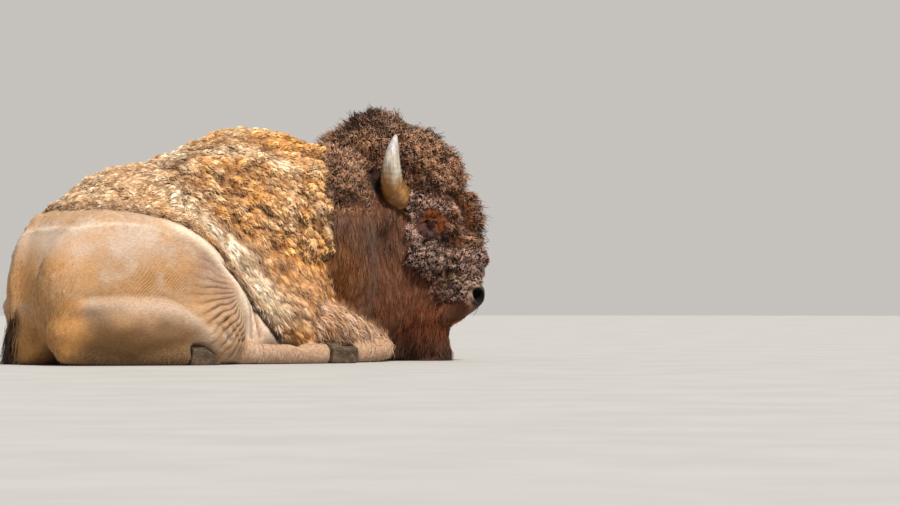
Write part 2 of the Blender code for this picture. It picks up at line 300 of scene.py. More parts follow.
# Regions of the coat: the haunches and their edges in the body's axes, the rest in the head's.
# Ovals are a centre and half sizes, and slopes are a height or length, its rate and where it starts.
regions = {
    "haunchRight": ((-0.78, 0, 0.05), (0.56, 0, 0.50)),
    "haunchLeft": ((-0.74, 0, 0.02), (0.54, 0, 0.45)),
    "brow": ((0.155, 0, 0.514), (0.060, 0, 0.058)),
    "flankSlope": (-0.325, -1.12, 0.317),  # x of the flank's bare strip, by height
    "gapSlope": (-0.318, -0.95, 0.317),
    "croupSlope": (0.0, 0.25, -0.78),  # height of the far haunch's wool, by x
    "mopSlope": (0.650, -0.35, 0.03),  # height of the mop's lower edge, by x
    "muzzle": ((0.333, 0, 0.246), (0.045, 0, 0.044)),
    "lips": ((0.270, 0, 0.172), (0.078, 0, 0.052)),
    # hollows in the head's wool, pressed in and painted with shade, as x, z and half widths:
    # two behind the horn, then before the eye, over the mouth, over the ear and before the horn
    "hollows": (
        (-0.056, 0.697, 0.026, 0.052),
        (-0.036, 0.650, 0.020, 0.030),
        (0.203, 0.452, 0.023, 0.030),
        (0.225, 0.338, 0.030, 0.014),
        (-0.128, 0.596, 0.024, 0.030),
        (0.086, 0.706, 0.020, 0.028),
    ),
    # the pale rim of the face's wool, and the gap between it and the mop, pressed in and painted with
    # shade
    "curlRidge": (
        (0.170, 0.618),
        (0.196, 0.607),
        (0.229, 0.589),
        (0.248, 0.552),
        (0.259, 0.508),
        (0.277, 0.463),
    ),
    "mopGap": ((0.205, 0.632), (0.245, 0.612), (0.268, 0.565), (0.280, 0.512)),
}


def sloped(values, start, rate, origin):
    return start + rate * (values - origin)


def mapRegions(f):
    # the masks that lengths, colours and shapes all use
    h, b = f.head, f.body
    wander = 0.020 * noise(f.points, 0.060, 3) + 0.010 * noise(f.points, 0.022, 4)
    dark = f.of("neck", "head", "mop", "beard", "muzzle", "ear_right", "ear_left", "eye_right", "eye_left")
    dark = blurred(dark, f.edges, 10)
    ragged = 0.45 * noise(f.points, 0.070, 5) + 0.30 * noise(f.points, 0.026, 6)
    f.dark = ease(dark + ragged * 4 * dark * (1 - dark), 0.38, 0.62)
    f.tuft = f.of("tail_tuft")
    f.tail = f.of("tail")
    f.forearm = f.of("forearm_right", "forearm_left")
    f.feet = f.of("hind_cannon_right", "hind_cannon_left", "fore_cannon_right", "fore_cannon_left")
    rightSide = ease(-b[:, 1], -0.12, 0.02)
    right = oval(b, *regions["haunchRight"])
    left = oval(b, *regions["haunchLeft"])
    f.haunchRim = blend(left, right, rightSide)
    haunch = 1 - ease(f.haunchRim + 0.5 * wander, 0.985, 1.01)
    edge = sloped(b[:, 2], *regions["flankSlope"]) + 0.6 * wander
    f.strip = (1 - ease(b[:, 0] - edge, -0.006, 0.010)) * (1 - ease(b[:, 2], 0.33, 0.36))
    croupWool = ease(b[:, 2] - sloped(b[:, 0], *regions["croupSlope"]), 0.53, 0.56) * (1 - rightSide)
    f.haunch = haunch * (1 - croupWool)
    f.bare = np.clip(np.maximum(f.haunch, f.strip) + f.feet + f.tail, 0, 1) * (1 - f.dark) * (1 - f.tuft)
    f.wool = np.clip(1 - f.dark - f.bare - f.tuft, 0, 1)
    # the head
    f.brow = 1 - ease(oval(h, *regions["brow"]), 0.85, 1.15)
    f.muzzle = 1 - ease(oval(h, *regions["muzzle"]), 0.90, 1.10)
    f.lips = (1 - ease(oval(h, *regions["lips"]), 0.85, 1.20)) * (1 - f.muzzle)
    crown = ease(h[:, 2] - sloped(h[:, 0], *regions["mopSlope"]) + 0.6 * wander, -0.020, 0.040)
    frontRim = ease(h[:, 0], 0.19, 0.25) * ease(h[:, 2], 0.40, 0.46)
    nape = ease(-h[:, 0], 0.05, 0.12) * ease(h[:, 2], 0.52, 0.60)
    f.mop = np.maximum(crown, np.maximum(frontRim, nape)) * f.dark
    faceEdge = 0.060 + 0.10 * (1 - ease(h[:, 2], 0.25, 0.42))
    face = ease(h[:, 0] - faceEdge + wander, -0.020, 0.020) * ease(h[:, 2], 0.18, 0.26)
    f.face = np.clip(face * f.dark - f.mop - f.muzzle - f.lips, 0, 1)
    f.ear = f.of("ear_right", "ear_left")
    f.throat = np.clip(f.dark - f.mop - f.face - f.muzzle - f.lips, 0, 1)


coatDepth = {
    "wool": 0.013, "bare": 0.004, "mop": 0.045, "face": 0.014, "throat": 0.026,
    "muzzle": 0.003, "lips": 0.006, "tuft": 0.014,
}
browDepth = 0.004
earDepth = 0.006
cheekStep = (-0.03, 0.42, 0.07, 0.13)  # where the neck meets the cheek: x, z and half widths in the head


def facingFloor(f, clearHeight):
    # 1 where the skin rests on the floor, 0 at this height above it
    return ease(-f.normals[:, 2], 0.3, 0.9) * (1 - ease(f.points[:, 2], 0.03, clearHeight))


def depthOf(f):
    depth = sum(length * getattr(f, name) for name, length in coatDepth.items())
    depth = blend(depth, browDepth, f.brow * (1 - f.mop) * f.dark)
    depth = blend(depth, earDepth, f.ear)
    depth *= 1 - 0.8 * facingFloor(f, 0.10)
    return blurred(depth, f.edges, 4)


def insetSkin():
    f = Fields(skin.data, 3)
    mapRegions(f)
    moved = f.points - f.normals * depthOf(f)[:, None]
    # evened, so that the neck runs into the cheek without a step
    evened = f.throat * nearSpot(f.head, *cheekStep)
    for axis in range(3):
        moved[:, axis] = blurred(moved[:, axis], f.edges, 3)
        moved[:, axis] = blend(moved[:, axis], blurred(moved[:, axis], f.edges, 80), evened)
    setPoints(skin.data, moved)


insetSkin()
print("stage: skin inset")


def unwrapSkin():
    bpy.context.view_layer.objects.active = skin
    skin.select_set(True)
    bpy.ops.object.mode_set(mode="EDIT")
    bpy.ops.mesh.select_all(action="SELECT")
    bpy.ops.uv.smart_project(angle_limit=math.radians(70), island_margin=0.001)
    bpy.ops.object.mode_set(mode="OBJECT")
    skin.data.uv_layers[0].name = "OFBake"


unwrapSkin()
print("stage: skin unwrapped")


# Where the skin is split finer: how far round the eyes, step by step, and boxes of x and z.
finer = {
    "eyeReaches": (0.070, 0.045, 0.030),
    "muzzle": ((0.185, 1.0), (0.12, 0.33)),  # in the head's axes
    "wrinkles": ((-0.66, 1.0), (0.02, 0.42)),  # in the body's axes, on the right haunch
}


def inBox(points, box):
    (lowX, highX), (lowZ, highZ) = box
    x, z = points[:, 0], points[:, 2]
    return (x > lowX) & (x < highX) & (z > lowZ) & (z < highZ)


def refine(test):
    # splits the faces whose middles pass the test
    bm = bmesh.new()
    bm.from_mesh(skin.data)
    bm.faces.ensure_lookup_table()
    middles = np.array([face.calc_center_median() for face in bm.faces])
    chosen = test(middles)
    edges = {edge for face, pick in zip(bm.faces, chosen) if pick for edge in face.edges}
    bmesh.ops.subdivide_edges(bm, edges=list(edges), cuts=1, use_grid_fill=True)
    bm.to_mesh(skin.data)
    bm.free()


def nearEye(reach):
    def test(points):
        h = toHead(points)
        flat = np.hypot(h[:, 0] - eyeInHead.x, h[:, 2] - eyeInHead.z)
        return (flat < reach) & (np.abs(h[:, 1]) > 0.06)
    return test


def nearMuzzle(points):
    return inBox(toHead(points), finer["muzzle"])


def nearWrinkles(points):
    b = toBody(points)
    inside = oval(b, *regions["haunchRight"])
    return (b[:, 1] < -0.2) & (inside < 1.03) & inBox(b, finer["wrinkles"])


refine(nearMuzzle)
refine(nearWrinkles)
for eyeReach in finer["eyeReaches"]:
    refine(nearEye(eyeReach))
print("stage: skin refined,", len(skin.data.polygons), "faces")


# Lids, nostrils, folds and clumps of wool are pressed into the skin.
eyeShape = {
    "ball": 0.021,
    "lid": 0.0237,  # radius of the lids over the ball
    "reach": 0.048,  # how far the lids' round form reaches
    "open": 0.0076,  # half the height of the slit
    "length": 0.0245,  # half the length of the slit
    "droop": 0.10,  # the slit falls this much towards the muzzle
    "browHeight": 0.0075,
    "upperFold": 0.0050,
    "lowerFold": 0.0040,
    "tearFold": 0.0060,
    "rimHeight": 0.0012,
    "rimWidth": 0.0022,
    "sunk": 0.0060,  # how far inside the ball the skin lies behind the slit
}


def roundForm(r, radius):
    return -eyeInHead.y + np.sqrt(np.maximum(radius**2 - r**2, 0))


def lidFolds(a, b):
    # the heavy brow, a fold over and under the lids, and one from the eye's front corner
    brow = eyeShape["browHeight"] * bell(b - 0.10 * a, 0.034, 0.013) * bell(a, 0, 0.040)
    upper = eyeShape["upperFold"] * bell(b + 6 * a**2, 0.0195, 0.0042) * bell(a, 0, 0.030)
    lower = eyeShape["lowerFold"] * bell(b - 5 * a**2, -0.0210, 0.0045) * bell(a, 0, 0.028)
    tear = eyeShape["tearFold"] * bell(b + 0.9 * (a - 0.026), -0.010, 0.006)
    tear *= ease(a, 0.018, 0.030) * ease(-a, -0.062, -0.040)
    return brow - upper - lower - tear


def shapeEyes(points):
    # lids close round each ball and leave a slit
    h = toHead(points)
    for side in (-1, 1):
        a = h[:, 0] - eyeInHead.x
        b = h[:, 2] - eyeInHead.z + eyeShape["droop"] * a
        out = side * h[:, 1]
        near = (out > 0.06) & (np.hypot(a, b) < 0.085)
        r = np.hypot(a, b * 1.08)
        cover = 1 - ease(r, 0.019, eyeShape["reach"])
        form = np.maximum(out, blend(out, roundForm(r, eyeShape["lid"]), cover)) + lidFolds(a, b)
        span = np.clip(1 - (a / eyeShape["length"]) ** 2, 0, 1)
        top = eyeShape["open"] * np.sqrt(span) * 1.15
        bottom = -eyeShape["open"] * np.sqrt(span) * 1.1
        slit = ease(top - b, -0.0006, 0.0010) * ease(b - bottom, -0.0006, 0.0010) * (span > 0)
        fromRim = np.minimum(np.abs(b - top), np.abs(b - bottom))
        form += eyeShape["rimHeight"] * bell(fromRim, 0, eyeShape["rimWidth"]) * (span > 0) * (1 - slit)
        form = blend(form, roundForm(r, eyeShape["ball"]) - eyeShape["sunk"], slit)
        h[near, 1] = side * form[near]
    return fromHead(h)


noseShape = {
    "nostril": (0.331, 0.245),  # x and z in the head's axes
    "half": (0.022, 0.031),
    "tilt": math.radians(-28),
    "depth": 0.034,
    "rim": 0.0030,
    "mouthFront": (0.316, 0.188),
    "mouthBack": (0.205, 0.150),
    "mouthDepth": 0.0085,
    "lipHeight": 0.0045,
    "wrinklePitch": 0.017,
    "wrinkleHeight": 0.0013,
}


def nostrilShare(h):
    # 0 at the middle of a nostril, 1 at its rim
    c, s = math.cos(noseShape["tilt"]), math.sin(noseShape["tilt"])
    x = h[:, 0] - noseShape["nostril"][0]
    z = h[:, 2] - noseShape["nostril"][1]
    across = (x * c - z * s) / noseShape["half"][0]
    along = (x * s + z * c) / noseShape["half"][1]
    across = across + 0.30 * np.maximum(-along, 0)
    return np.hypot(across, along)


def mouthLineOf(h, above=0, half=0.0055):
    # 1 on the line of the mouth, or on a line this far above it
    x0, z0 = noseShape["mouthFront"]
    x1, z1 = noseShape["mouthBack"]
    share = np.clip((h[:, 0] - x1) / (x0 - x1), -0.3, 1.4)
    gap = h[:, 2] - above - (z1 + (z0 - z1) * share - 0.012 * np.sin(np.clip(share, 0, 1) * math.pi))
    return bell(gap, 0, half) * ease(h[:, 0], x1 - 0.01, x1 + 0.03)


def shapeMuzzle(points):
    h = toHead(points)
    side = np.sign(h[:, 1])
    out = np.abs(h[:, 1])
    away = nostrilShare(h)
    onSide = ease(out, 0.012, 0.026) * ease(h[:, 0], 0.22, 0.28)
    pit = (1 - ease(away, 0.45, 1.0)) * onSide
    rim = bell(away, 1.22, 0.22) * onSide
    into = unit(np.stack([0 * out - 0.55, -side * 0.85, 0 * out + 0.10], -1))
    h = h + into * (noseShape["depth"] * pit - noseShape["rim"] * rim)[:, None]
    groove = mouthLineOf(h, 0, 0.0060)
    lip = mouthLineOf(h, 0.014, 0.009)
    flat = unit(np.stack([0.35 + 0 * out, side * 0.9, 0 * out], -1))
    h = h + flat * (noseShape["lipHeight"] * lip - noseShape["mouthDepth"] * groove)[:, None]
    # wrinkles over the nostril and up the nose
    phase = (h[:, 2] + 0.35 * h[:, 0]) * math.tau / noseShape["wrinklePitch"]
    fold = np.sin(phase + 1.5 * noise(h, 0.03, 8))
    onNose = ease(h[:, 0], 0.22, 0.27) * ease(h[:, 2], 0.262, 0.285) * (1 - ease(h[:, 2], 0.315, 0.345))
    h[:, 0] += noseShape["wrinkleHeight"] * fold * onNose
    return fromHead(h)


def nearPath(points, path, half):
    # 1 on a line drawn over x and z, falling off over half that width
    path = np.array(path)
    spot = points[:, [0, 2]]
    away = np.full(len(spot), 9.0)
    for start, end in zip(path[:-1], path[1:]):
        run = end - start
        t = np.clip((spot - start) @ run / (run @ run), 0, 1)
        away = np.minimum(away, np.linalg.norm(spot - start - t[:, None] * run, axis=1))
    return bell(away, 0, half)


def nearLine(f, path, half):
    # the same on both sides of the body, away from its middle
    return nearPath(f.body, path, half) * ease(np.abs(f.body[:, 1]), 0.04, 0.10)


folds = {
    "fanCentre": (-0.241, 0.253),  # the haunch's wrinkles fan out from here: x and z in the body
    "fanWaves": 25.5,
    "fanDepth": 0.0046,
    # fine strokes over the middle of the haunch: x, z and half widths in the body
    "strokeSpot": (-0.67, 0.280, 0.19, 0.070),
    "strokePitch": 0.010,
    "strokeDepth": 0.0012,
    "rollLine": ((-0.93, 0.228), (-0.80, 0.236), (-0.64, 0.230), (-0.55, 0.190), (-0.49, 0.130)),
    "rollWidth": 0.030,
    "rollHeight": 0.010,
    "rollGrooveWidth": 0.011,
    "rollGroove": 0.006,
    # lines round the haunch: how far out in its oval they run, and their half widths
    "ridge": (0.945, 0.036),
    "ridgeGrooves": ((0.952, 0.0075), (0.978, 0.0075)),
    "innerGroove": (0.865, 0.030),
    "hairLine": (0.885, 0.013),
    "ridgeHeight": 0.0070,
    "ridgeGrooveDepth": 0.0045,
    "innerGrooveDepth": 0.0035,
    "hairLineHeight": 0.0030,
    "stifleFolds": (
        ((-0.455, 0.145), (-0.405, 0.085)),
        ((-0.415, 0.155), (-0.360, 0.085)),
        ((-0.37, 0.14), (-0.33, 0.08)),
    ),
    "stifleWidth": 0.009,
    "stifleDepth": 0.008,
    "flankCrease": ((-0.235, 0.290), (-0.222, 0.200), (-0.190, 0.100)),
    "flankWidth": 0.008,
    "flankDepth": 0.012,
    "pleatPitch": 0.024,
    "pleatDepth": 0.003,
}


def raised(path, height):
    return [(x, z + height) for x, z in path]


def creaseOf(phase):
    return (1 - np.abs(np.sin(phase))) ** 2.2


def mapFolds(f):
    # where the skin of the haunch wrinkles, and at what phase of a wrinkle each point lies
    b = f.body
    side = ease(np.abs(b[:, 1]), 0.12, 0.20) * f.haunch
    x = b[:, 0] - folds["fanCentre"][0]
    z = b[:, 2] - folds["fanCentre"][1]
    reach = np.hypot(x, z)
    angle = np.arctan2(z, -x)
    f.fanPhase = folds["fanWaves"] * angle + 1.0 * noise(b, 0.07, 21) + 0.45 * noise(b, 0.03, 22)
    across = ease(angle, -1.35, -1.0) * (1 - ease(angle, 0.40, 0.75))
    f.fanShare = side * ease(reach, 0.075, 0.12) * (1 - ease(reach, 0.19, 0.34)) * across
    f.fanShare *= (1 - ease(f.haunchRim, 0.86, 0.92)) * (0.55 + 0.45 * ease(-angle, -0.2, 0.5))
    f.fanShare *= (0.85 + 0.45 * noise(b, 0.035, 29)) * (1 - 0.4 * ease(b[:, 1], 0.0, 0.10))
    f.strokePhase = (0.64 * b[:, 2] - 0.77 * b[:, 0]) * math.pi / folds["strokePitch"]
    f.strokePhase += 2.6 * noise(b, 0.05, 23)
    broken = ease(noise(b, 0.030, 28) + 0.6 * noise(b, 0.07, 30), -0.6, 0.9)
    f.strokeShare = side * nearSpot(b, *folds["strokeSpot"]) * 0.42 * (0.35 + 0.65 * broken)


def shapeHaunch(f, push):
    b = f.body
    side = ease(np.abs(b[:, 1]), 0.12, 0.20)
    push -= folds["fanDepth"] * creaseOf(f.fanPhase) * f.fanShare
    push -= folds["strokeDepth"] * creaseOf(f.strokePhase) * f.strokeShare
    for path in folds["stifleFolds"]:
        push -= folds["stifleDepth"] * nearLine(f, path, folds["stifleWidth"]) * f.haunch
    # the long roll over the gaskin, with a groove above it
    f.rollTop = nearLine(f, raised(folds["rollLine"], -0.026), folds["rollWidth"]) * f.haunch
    push += folds["rollHeight"] * f.rollTop
    groove = nearLine(f, raised(folds["rollLine"], 0.006), folds["rollGrooveWidth"])
    push -= folds["rollGroove"] * groove * f.haunch
    # the pale ridge along the rim of the haunch, with two thin grooves low on its outer side
    front = ease(b[:, 0], -0.68, -0.52) * side * f.haunch
    low = front * (1 - ease(b[:, 2], 0.30, 0.40))
    f.ridge = bell(f.haunchRim, *folds["ridge"]) * front
    f.ridgeGroove = sum(bell(f.haunchRim, *groove) for groove in folds["ridgeGrooves"]) * low
    inner = bell(f.haunchRim, *folds["innerGroove"]) * front
    push += folds["ridgeHeight"] * f.ridge
    push -= folds["ridgeGrooveDepth"] * f.ridgeGroove + folds["innerGrooveDepth"] * inner
    # a tufty line runs inside the rim at the back
    f.hairLine = bell(f.haunchRim, *folds["hairLine"]) * (1 - ease(b[:, 0], -0.62, -0.50)) * f.haunch
    push += folds["hairLineHeight"] * f.hairLine * (1 + 0.7 * noise(b, 0.025, 24))
    raggedRim = f.haunchRim + 0.01 * noise(b, 0.03, 25)
    f.rimBand = f.haunch * ease(raggedRim, 0.87, 0.93) * ease(-b[:, 0], 0.50, 0.72)
    # creases where the flank folds
    f.flankCrease = nearLine(f, folds["flankCrease"], folds["flankWidth"]) * f.strip
    leant = b[:, 0] - 0.35 * (b[:, 2] - 0.15)
    pleats = np.abs(np.sin(leant * math.pi / folds["pleatPitch"] + 0.8 * noise(b, 0.04, 27)))
    pleated = (1 - pleats) ** 1.5 * f.strip * (1 - f.haunch)
    push -= (folds["flankDepth"] * f.flankCrease + folds["pleatDepth"] * pleated) * side
    return push


woolEdges = {
    # lines round the haunch where the mat of wool stands proud and where it parts from the short coat
    "matEdge": (1.040, 0.036),
    "matGroove": (1.008, 0.016),
    "matHeight": 0.011,
    "gapDepth": 0.026,  # the dark gap between the flank's bare strip and the wool before it
    "gapWidth": 0.019,
    "crackWidth": 0.017,
    "humpGrooveWidth": 0.016,
    "grooveDepth": 0.016,
    "hollowDepth": 0.012,
    "mopGapWidth": 0.018,
    "cheekFill": 0.016,  # fills the dip behind the cheek: x, z and half widths in the head
    "cheekSpot": (-0.003, 0.462, 0.020, 0.040),
    # lines on the animal's side, as x and z in the body
    "humpGroove": (
        (-0.422, 0.693),
        (-0.354, 0.731),
        (-0.236, 0.796),
        (-0.130, 0.822),
        (-0.053, 0.798),
        (0.021, 0.754),
    ),
    "cracks": (
        ((-0.373, 0.657), (-0.342, 0.595), (-0.290, 0.564), (-0.231, 0.550)),
        ((-0.140, 0.565), (-0.085, 0.515), (-0.033, 0.476)),
        ((-0.225, 0.700), (-0.185, 0.678)),
        ((-0.010, 0.545), (0.035, 0.500)),
        ((-0.171, 0.364), (-0.141, 0.317)),
        ((-0.096, 0.364), (-0.070, 0.330)),
        ((-0.030, 0.264), (0.000, 0.225)),
        ((-0.300, 0.500), (-0.215, 0.425), (-0.190, 0.395)),
    ),
}


def shapeWoolEdges(f, push):
    b = f.body
    offFloor = ease(b[:, 2], 0.10, 0.20)
    f.matEdge = bell(f.haunchRim, *woolEdges["matEdge"]) * f.wool * offFloor
    push += woolEdges["matHeight"] * f.matEdge * (0.8 + 0.6 * noise(f.points, 0.030, 25))
    edge = sloped(b[:, 2], *regions["gapSlope"]) + 0.010 * noise(b, 0.030, 26)
    span = ease(b[:, 2], 0.05, 0.09) * (1 - ease(b[:, 2], 0.33, 0.37)) * ease(np.abs(b[:, 1]), 0.10, 0.2)
    f.gap = bell(b[:, 0], edge, woolEdges["gapWidth"]) * span
    push -= woolEdges["gapDepth"] * f.gap
    cracks = nearLine(f, woolEdges["humpGroove"], woolEdges["humpGrooveWidth"]) * 0.85
    for path in woolEdges["cracks"]:
        cracks = np.maximum(cracks, nearLine(f, path, woolEdges["crackWidth"]))
    inside, chance, outwards = lumpsAt(f.points, "mat")
    matted = np.clip(f.shoulder + 0.55 * f.loin + 0.45 * f.apron + 0.6 * f.collar, 0, 1)
    mat = lumps["mat"]
    tilt = np.clip(outwards @ unit(np.array(mat["along"])) / mat["size"], -0.8, 0.8)
    push += matted * mat["height"] * (inside * (0.5 + 0.5 * chance) - 0.4 + 0.5 * tilt)
    cracks = np.maximum(cracks, 1.3 * (1 - inside) * matted * (0.30 + 0.8 * chance))
    cracks = np.maximum(cracks, 0.9 * bell(f.haunchRim, *woolEdges["matGroove"]) * offFloor)
    f.cracks = np.clip(cracks * ease(f.wool, 0.0, 0.3) * (0.8 + 0.45 * noise(b, 0.025, 37)), 0, 1)
    push -= woolEdges["grooveDepth"] * f.cracks
    hollows = nearSpots(f.head, regions["hollows"])
    hollows += nearPath(f.head, regions["mopGap"], woolEdges["mopGapWidth"])
    f.hollows = np.clip(hollows * f.dark, 0, 1)
    push -= woolEdges["hollowDepth"] * f.hollows
    push += woolEdges["cheekFill"] * nearSpot(f.head, *woolEdges["cheekSpot"]) * f.throat
    return push


# Hair gathers in clumps: their spacing, how far the skin swells under them, how much longer than wide they
# are, and which way they are long. The mat is the broad swells that the body's wool lies in.
lumps = {
    "mat": {"size": 0.080, "height": 0.010, "stretch": 1.5, "along": (0.45, 0.0, -0.85), "seed": 31},
    "loin": {"size": 0.019, "height": 0.0050, "stretch": 1.9, "along": (-0.85, 0.0, -0.50), "seed": 41},
    "shoulder": {"size": 0.021, "height": 0.0075, "stretch": 1.6, "along": (0.62, 0.0, -0.78), "seed": 43},
    "collar": {"size": 0.032, "height": 0.0130, "stretch": 1.35, "along": (0.20, 0.0, -1.0), "seed": 45},
    "apron": {"size": 0.024, "height": 0.0035, "stretch": 2.2, "along": (0.58, 0.0, -0.81), "seed": 47},
    "face": {"size": 0.027, "height": 0.0100, "stretch": 1.0, "along": (0.0, 0.0, 1.0), "seed": 51},
    "mop": {"size": 0.034, "height": 0.0150, "stretch": 1.0, "along": (0.0, 0.0, 1.0), "seed": 61},
    "throat": {"size": 0.028, "height": 0.0018, "stretch": 2.6, "along": (-0.15, 0.0, -1.0), "seed": 66},
    "short": {"size": 0.013, "height": 0.0006, "stretch": 1.8, "along": (-0.5, 0.0, -0.9), "seed": 68},
}


def squeezeOf(lump):
    along = unit(np.array(lump["along"]))
    return np.identity(3) + (1 / lump["stretch"] - 1) * np.outer(along, along)


def lumpsAt(points, kind):
    # how deep each point lies inside its clump, that clump's chance value, and the way out from its middle
    lump = lumps[kind]
    size, seed = lump["size"], lump["seed"]
    squeeze = squeezeOf(lump)
    warp = 0.42 * size * np.stack([noise(points, size * 0.8, seed + k) for k in (7, 8, 9)], -1)
    warp += 0.60 * size * np.stack([noise(points, size * 4, seed + k) for k in (10, 11, 12)], -1)
    places = points @ squeeze + warp
    first, second, centre, chance = cells(places, size, seed)
    inside = np.sqrt(ease(second - first, 0, 0.42 * size))
    outwards = (places - centre) @ np.linalg.inv(squeeze)
    return inside, chance, outwards


apronSlope = (0.52, -0.41, -0.36)  # height of the apron's upper edge, by x
# the line between the wool and the mane: z and x in the body
maneLine = ((0.134, 0.137), (0.343, 0.086), (0.470, 0.119), (0.642, 0.139), (0.843, 0.341))


def mapWool(f):
    # which kind of wool grows where
    b = f.body
    maneEdge = np.interp(b[:, 2], *np.transpose(maneLine))
    wander = 0.03 * noise(b, 0.07, 34)
    collar = ease(b[:, 0] - maneEdge + wander, -0.115, -0.055) * ease(b[:, 2] + wander, 0.36, 0.44)
    apron = 1 - ease(b[:, 2] - sloped(b[:, 0], *apronSlope) + wander, -0.03, 0.03)
    apron *= ease(b[:, 0], -0.44, -0.36)
    loin = 1 - ease(b[:, 0] + wander, -0.46, -0.38)
    f.collar = f.wool * collar
    f.apron = f.wool * apron * (1 - collar)
    f.loin = f.wool * loin * (1 - collar) * (1 - apron)
    f.shoulder = np.clip(f.wool - f.collar - f.apron - f.loin, 0, 1)
    f.short = f.bare


muzzleRoughness = 0.0028
# broad folds under the coat
foldHeights = {"shoulder": 0.011, "collar": 0.011, "loin": 0.005, "mop": 0.014, "face": 0.004}


def shapeClumps(f, push):
    f.crevice = np.zeros(len(f.points))
    for name in (kind for kind in lumps if kind != "mat"):
        inside, chance, _ = lumpsAt(f.points, name)
        share = getattr(f, name)
        push += lumps[name]["height"] * (inside * (0.55 + 0.45 * chance) - 0.45) * share
        # how deep each point lies in a crevice between clumps, where shade is painted
        f.crevice += (1 - inside) * share * (0.08 if name == "short" else 1)
    push += muzzleRoughness * noise(f.points, 0.019, 73) * f.muzzle
    folded = noise(f.points, 0.11, 71) + 0.5 * noise(f.points, 0.05, 72)
    for name, height in foldHeights.items():
        push += folded * height * getattr(f, name)
    return push


def shapeSkin():
    # returns the shaped skin's fields, which keep the smoother normals from before the shaping
    f = Fields(skin.data, 2)
    mapRegions(f)
    mapFolds(f)
    mapWool(f)
    push = np.zeros(len(f.points))
    push = shapeHaunch(f, push)
    push = shapeWoolEdges(f, push)
    push = shapeClumps(f, push)
    push *= 1 - facingFloor(f, 0.08)
    moved = shapeMuzzle(shapeEyes(f.points + f.normals * push[:, None]))
    moved[:, 2] = np.maximum(moved[:, 2], skinSize["floorGap"])
    setPoints(skin.data, moved)
    shadeSmooth(skin.data)
    f.smooth = f.normals
    f.points = pointsOf(skin.data)
    f.head = toHead(f.points)
    f.body = toBody(f.points)
    return f


fields = shapeSkin()
print("stage: skin shaped")


# Colours of the coat, as they look on a screen.
def rgb(red, green, blue):
    shown = np.array([red, green, blue]) / 255
    return np.where(shown < 0.04045, shown / 12.92, ((shown + 0.055) / 1.055) ** 2.4)


coatColours = {
    "wool": rgb(255, 210, 148),
    "woolPale": rgb(255, 240, 214),
    "woolGold": rgb(252, 186, 104),
    "woolDeep": rgb(164, 106, 52),
    # painted shade for the wool's cracks and the flank's crease
    "crack": rgb(112, 64, 28),
    "back": rgb(240, 198, 154),
    "apron": rgb(194, 136, 88),
    "haunch": rgb(171, 141, 113),
    "haunchPale": rgb(192, 175, 161),
    "gold": rgb(176, 132, 86),
    "cream": rgb(226, 208, 186),
    "purple": rgb(150, 118, 102),
    "olive": rgb(104, 76, 48),
    "ochre": rgb(194, 140, 80),
    "flank": rgb(238, 212, 188),
    "forearm": rgb(214, 178, 152),
    "shin": rgb(178, 144, 118),
    "mane": rgb(112, 73, 50),
    "maneOlive": rgb(130, 82, 37),
    "maneRed": rgb(104, 57, 35),
    "manePurple": rgb(96, 70, 64),
    "nape": rgb(172, 118, 74),
    "mop": rgb(160, 110, 82),
    "mopLight": rgb(212, 160, 122),
    "mopOrange": rgb(182, 112, 64),
    "mopDark": rgb(44, 31, 30),
    "face": rgb(106, 72, 60),
    "facePale": rgb(216, 172, 154),
    "faceGold": rgb(190, 168, 120),
    "browOrange": rgb(146, 82, 38),
    "browPurple": rgb(92, 64, 66),
    # painted shade for hollows, gaps, under the eye and in patches of the face's wool
    "hollow": rgb(40, 27, 25),
    "noseSkin": rgb(58, 40, 35),
    "nosePale": rgb(222, 188, 166),
    # the nostril's dark lining, with painted shade deep in its pit
    "nostril": rgb(9, 5, 5),
    "lips": rgb(88, 50, 32),
    "lipsBright": rgb(170, 92, 42),
    # painted shade in the groove of the mouth
    "mouth": rgb(44, 26, 20),
    "beard": rgb(120, 62, 32),
    "beardDark": rgb(60, 36, 26),
    "ear": rgb(104, 70, 56),
}
# Where colours gather, in the body's axes and in the head's: x, z and half widths.
bodySpots = {
    "haunchPale": ((-0.80, 0.48, 0.20, 0.08), (-0.96, 0.38, 0.05, 0.10)),
    "gold": ((-0.98, 0.33, 0.07, 0.05), (-0.66, 0.30, 0.16, 0.06)),
    "purple": ((-0.45, 0.37, 0.06, 0.06), (-0.39, 0.26, 0.04, 0.07)),
    "manePurple": ((0.33, 0.44, 0.16, 0.07), (0.16, 0.54, 0.06, 0.06)),
    "maneOlive": ((0.18, 0.30, 0.09, 0.14),),
}
headSpots = {
    "maneRed": ((0.02, 0.24, 0.10, 0.12),),
    "mopLight": ((-0.15, 0.675, 0.06, 0.035),),
    "faceGold": ((0.240, 0.320, 0.035, 0.040),),
    # painted shade under the eye
    "underEye": ((0.150, 0.514, 0.025, 0.007),),
    "nosePale": ((0.299, 0.236, 0.012, 0.030), (0.312, 0.288, 0.026, 0.013)),
}
# lighter and golden wool: the same, and a strength
woolSpots = (
    ("woolPale", (-0.14, 0.768, 0.17, 0.028), 0.9),
    ("woolPale", (-0.005, 0.722, 0.06, 0.025), 0.8),
    ("woolPale", (-0.50, 0.66, 0.20, 0.05), 0.4),
    ("woolGold", (0.04, 0.785, 0.11, 0.035), 0.8),
    ("woolGold", (-0.10, 0.60, 0.10, 0.06), 0.5),
    ("woolGold", (-0.12, 0.47, 0.12, 0.06), 0.6),
)
# the pale band along the wool's edge, in the body's axes, and the pale edge of the brow, in the head's
paleBand = (
    (-0.441, 0.584),
    (-0.395, 0.530),
    (-0.329, 0.459),
    (-0.261, 0.388),
    (-0.187, 0.281),
    (-0.114, 0.192),
)
lidEdge = ((0.150, 0.578), (0.180, 0.570), (0.207, 0.544))
mottling = ((0.16, 80), (0.05, 81), (0.018, 82))  # sizes and seeds
warmShade = np.array([1.0, 1.35, 1.75])  # darker hair is warmer, so its green and blue fall faster


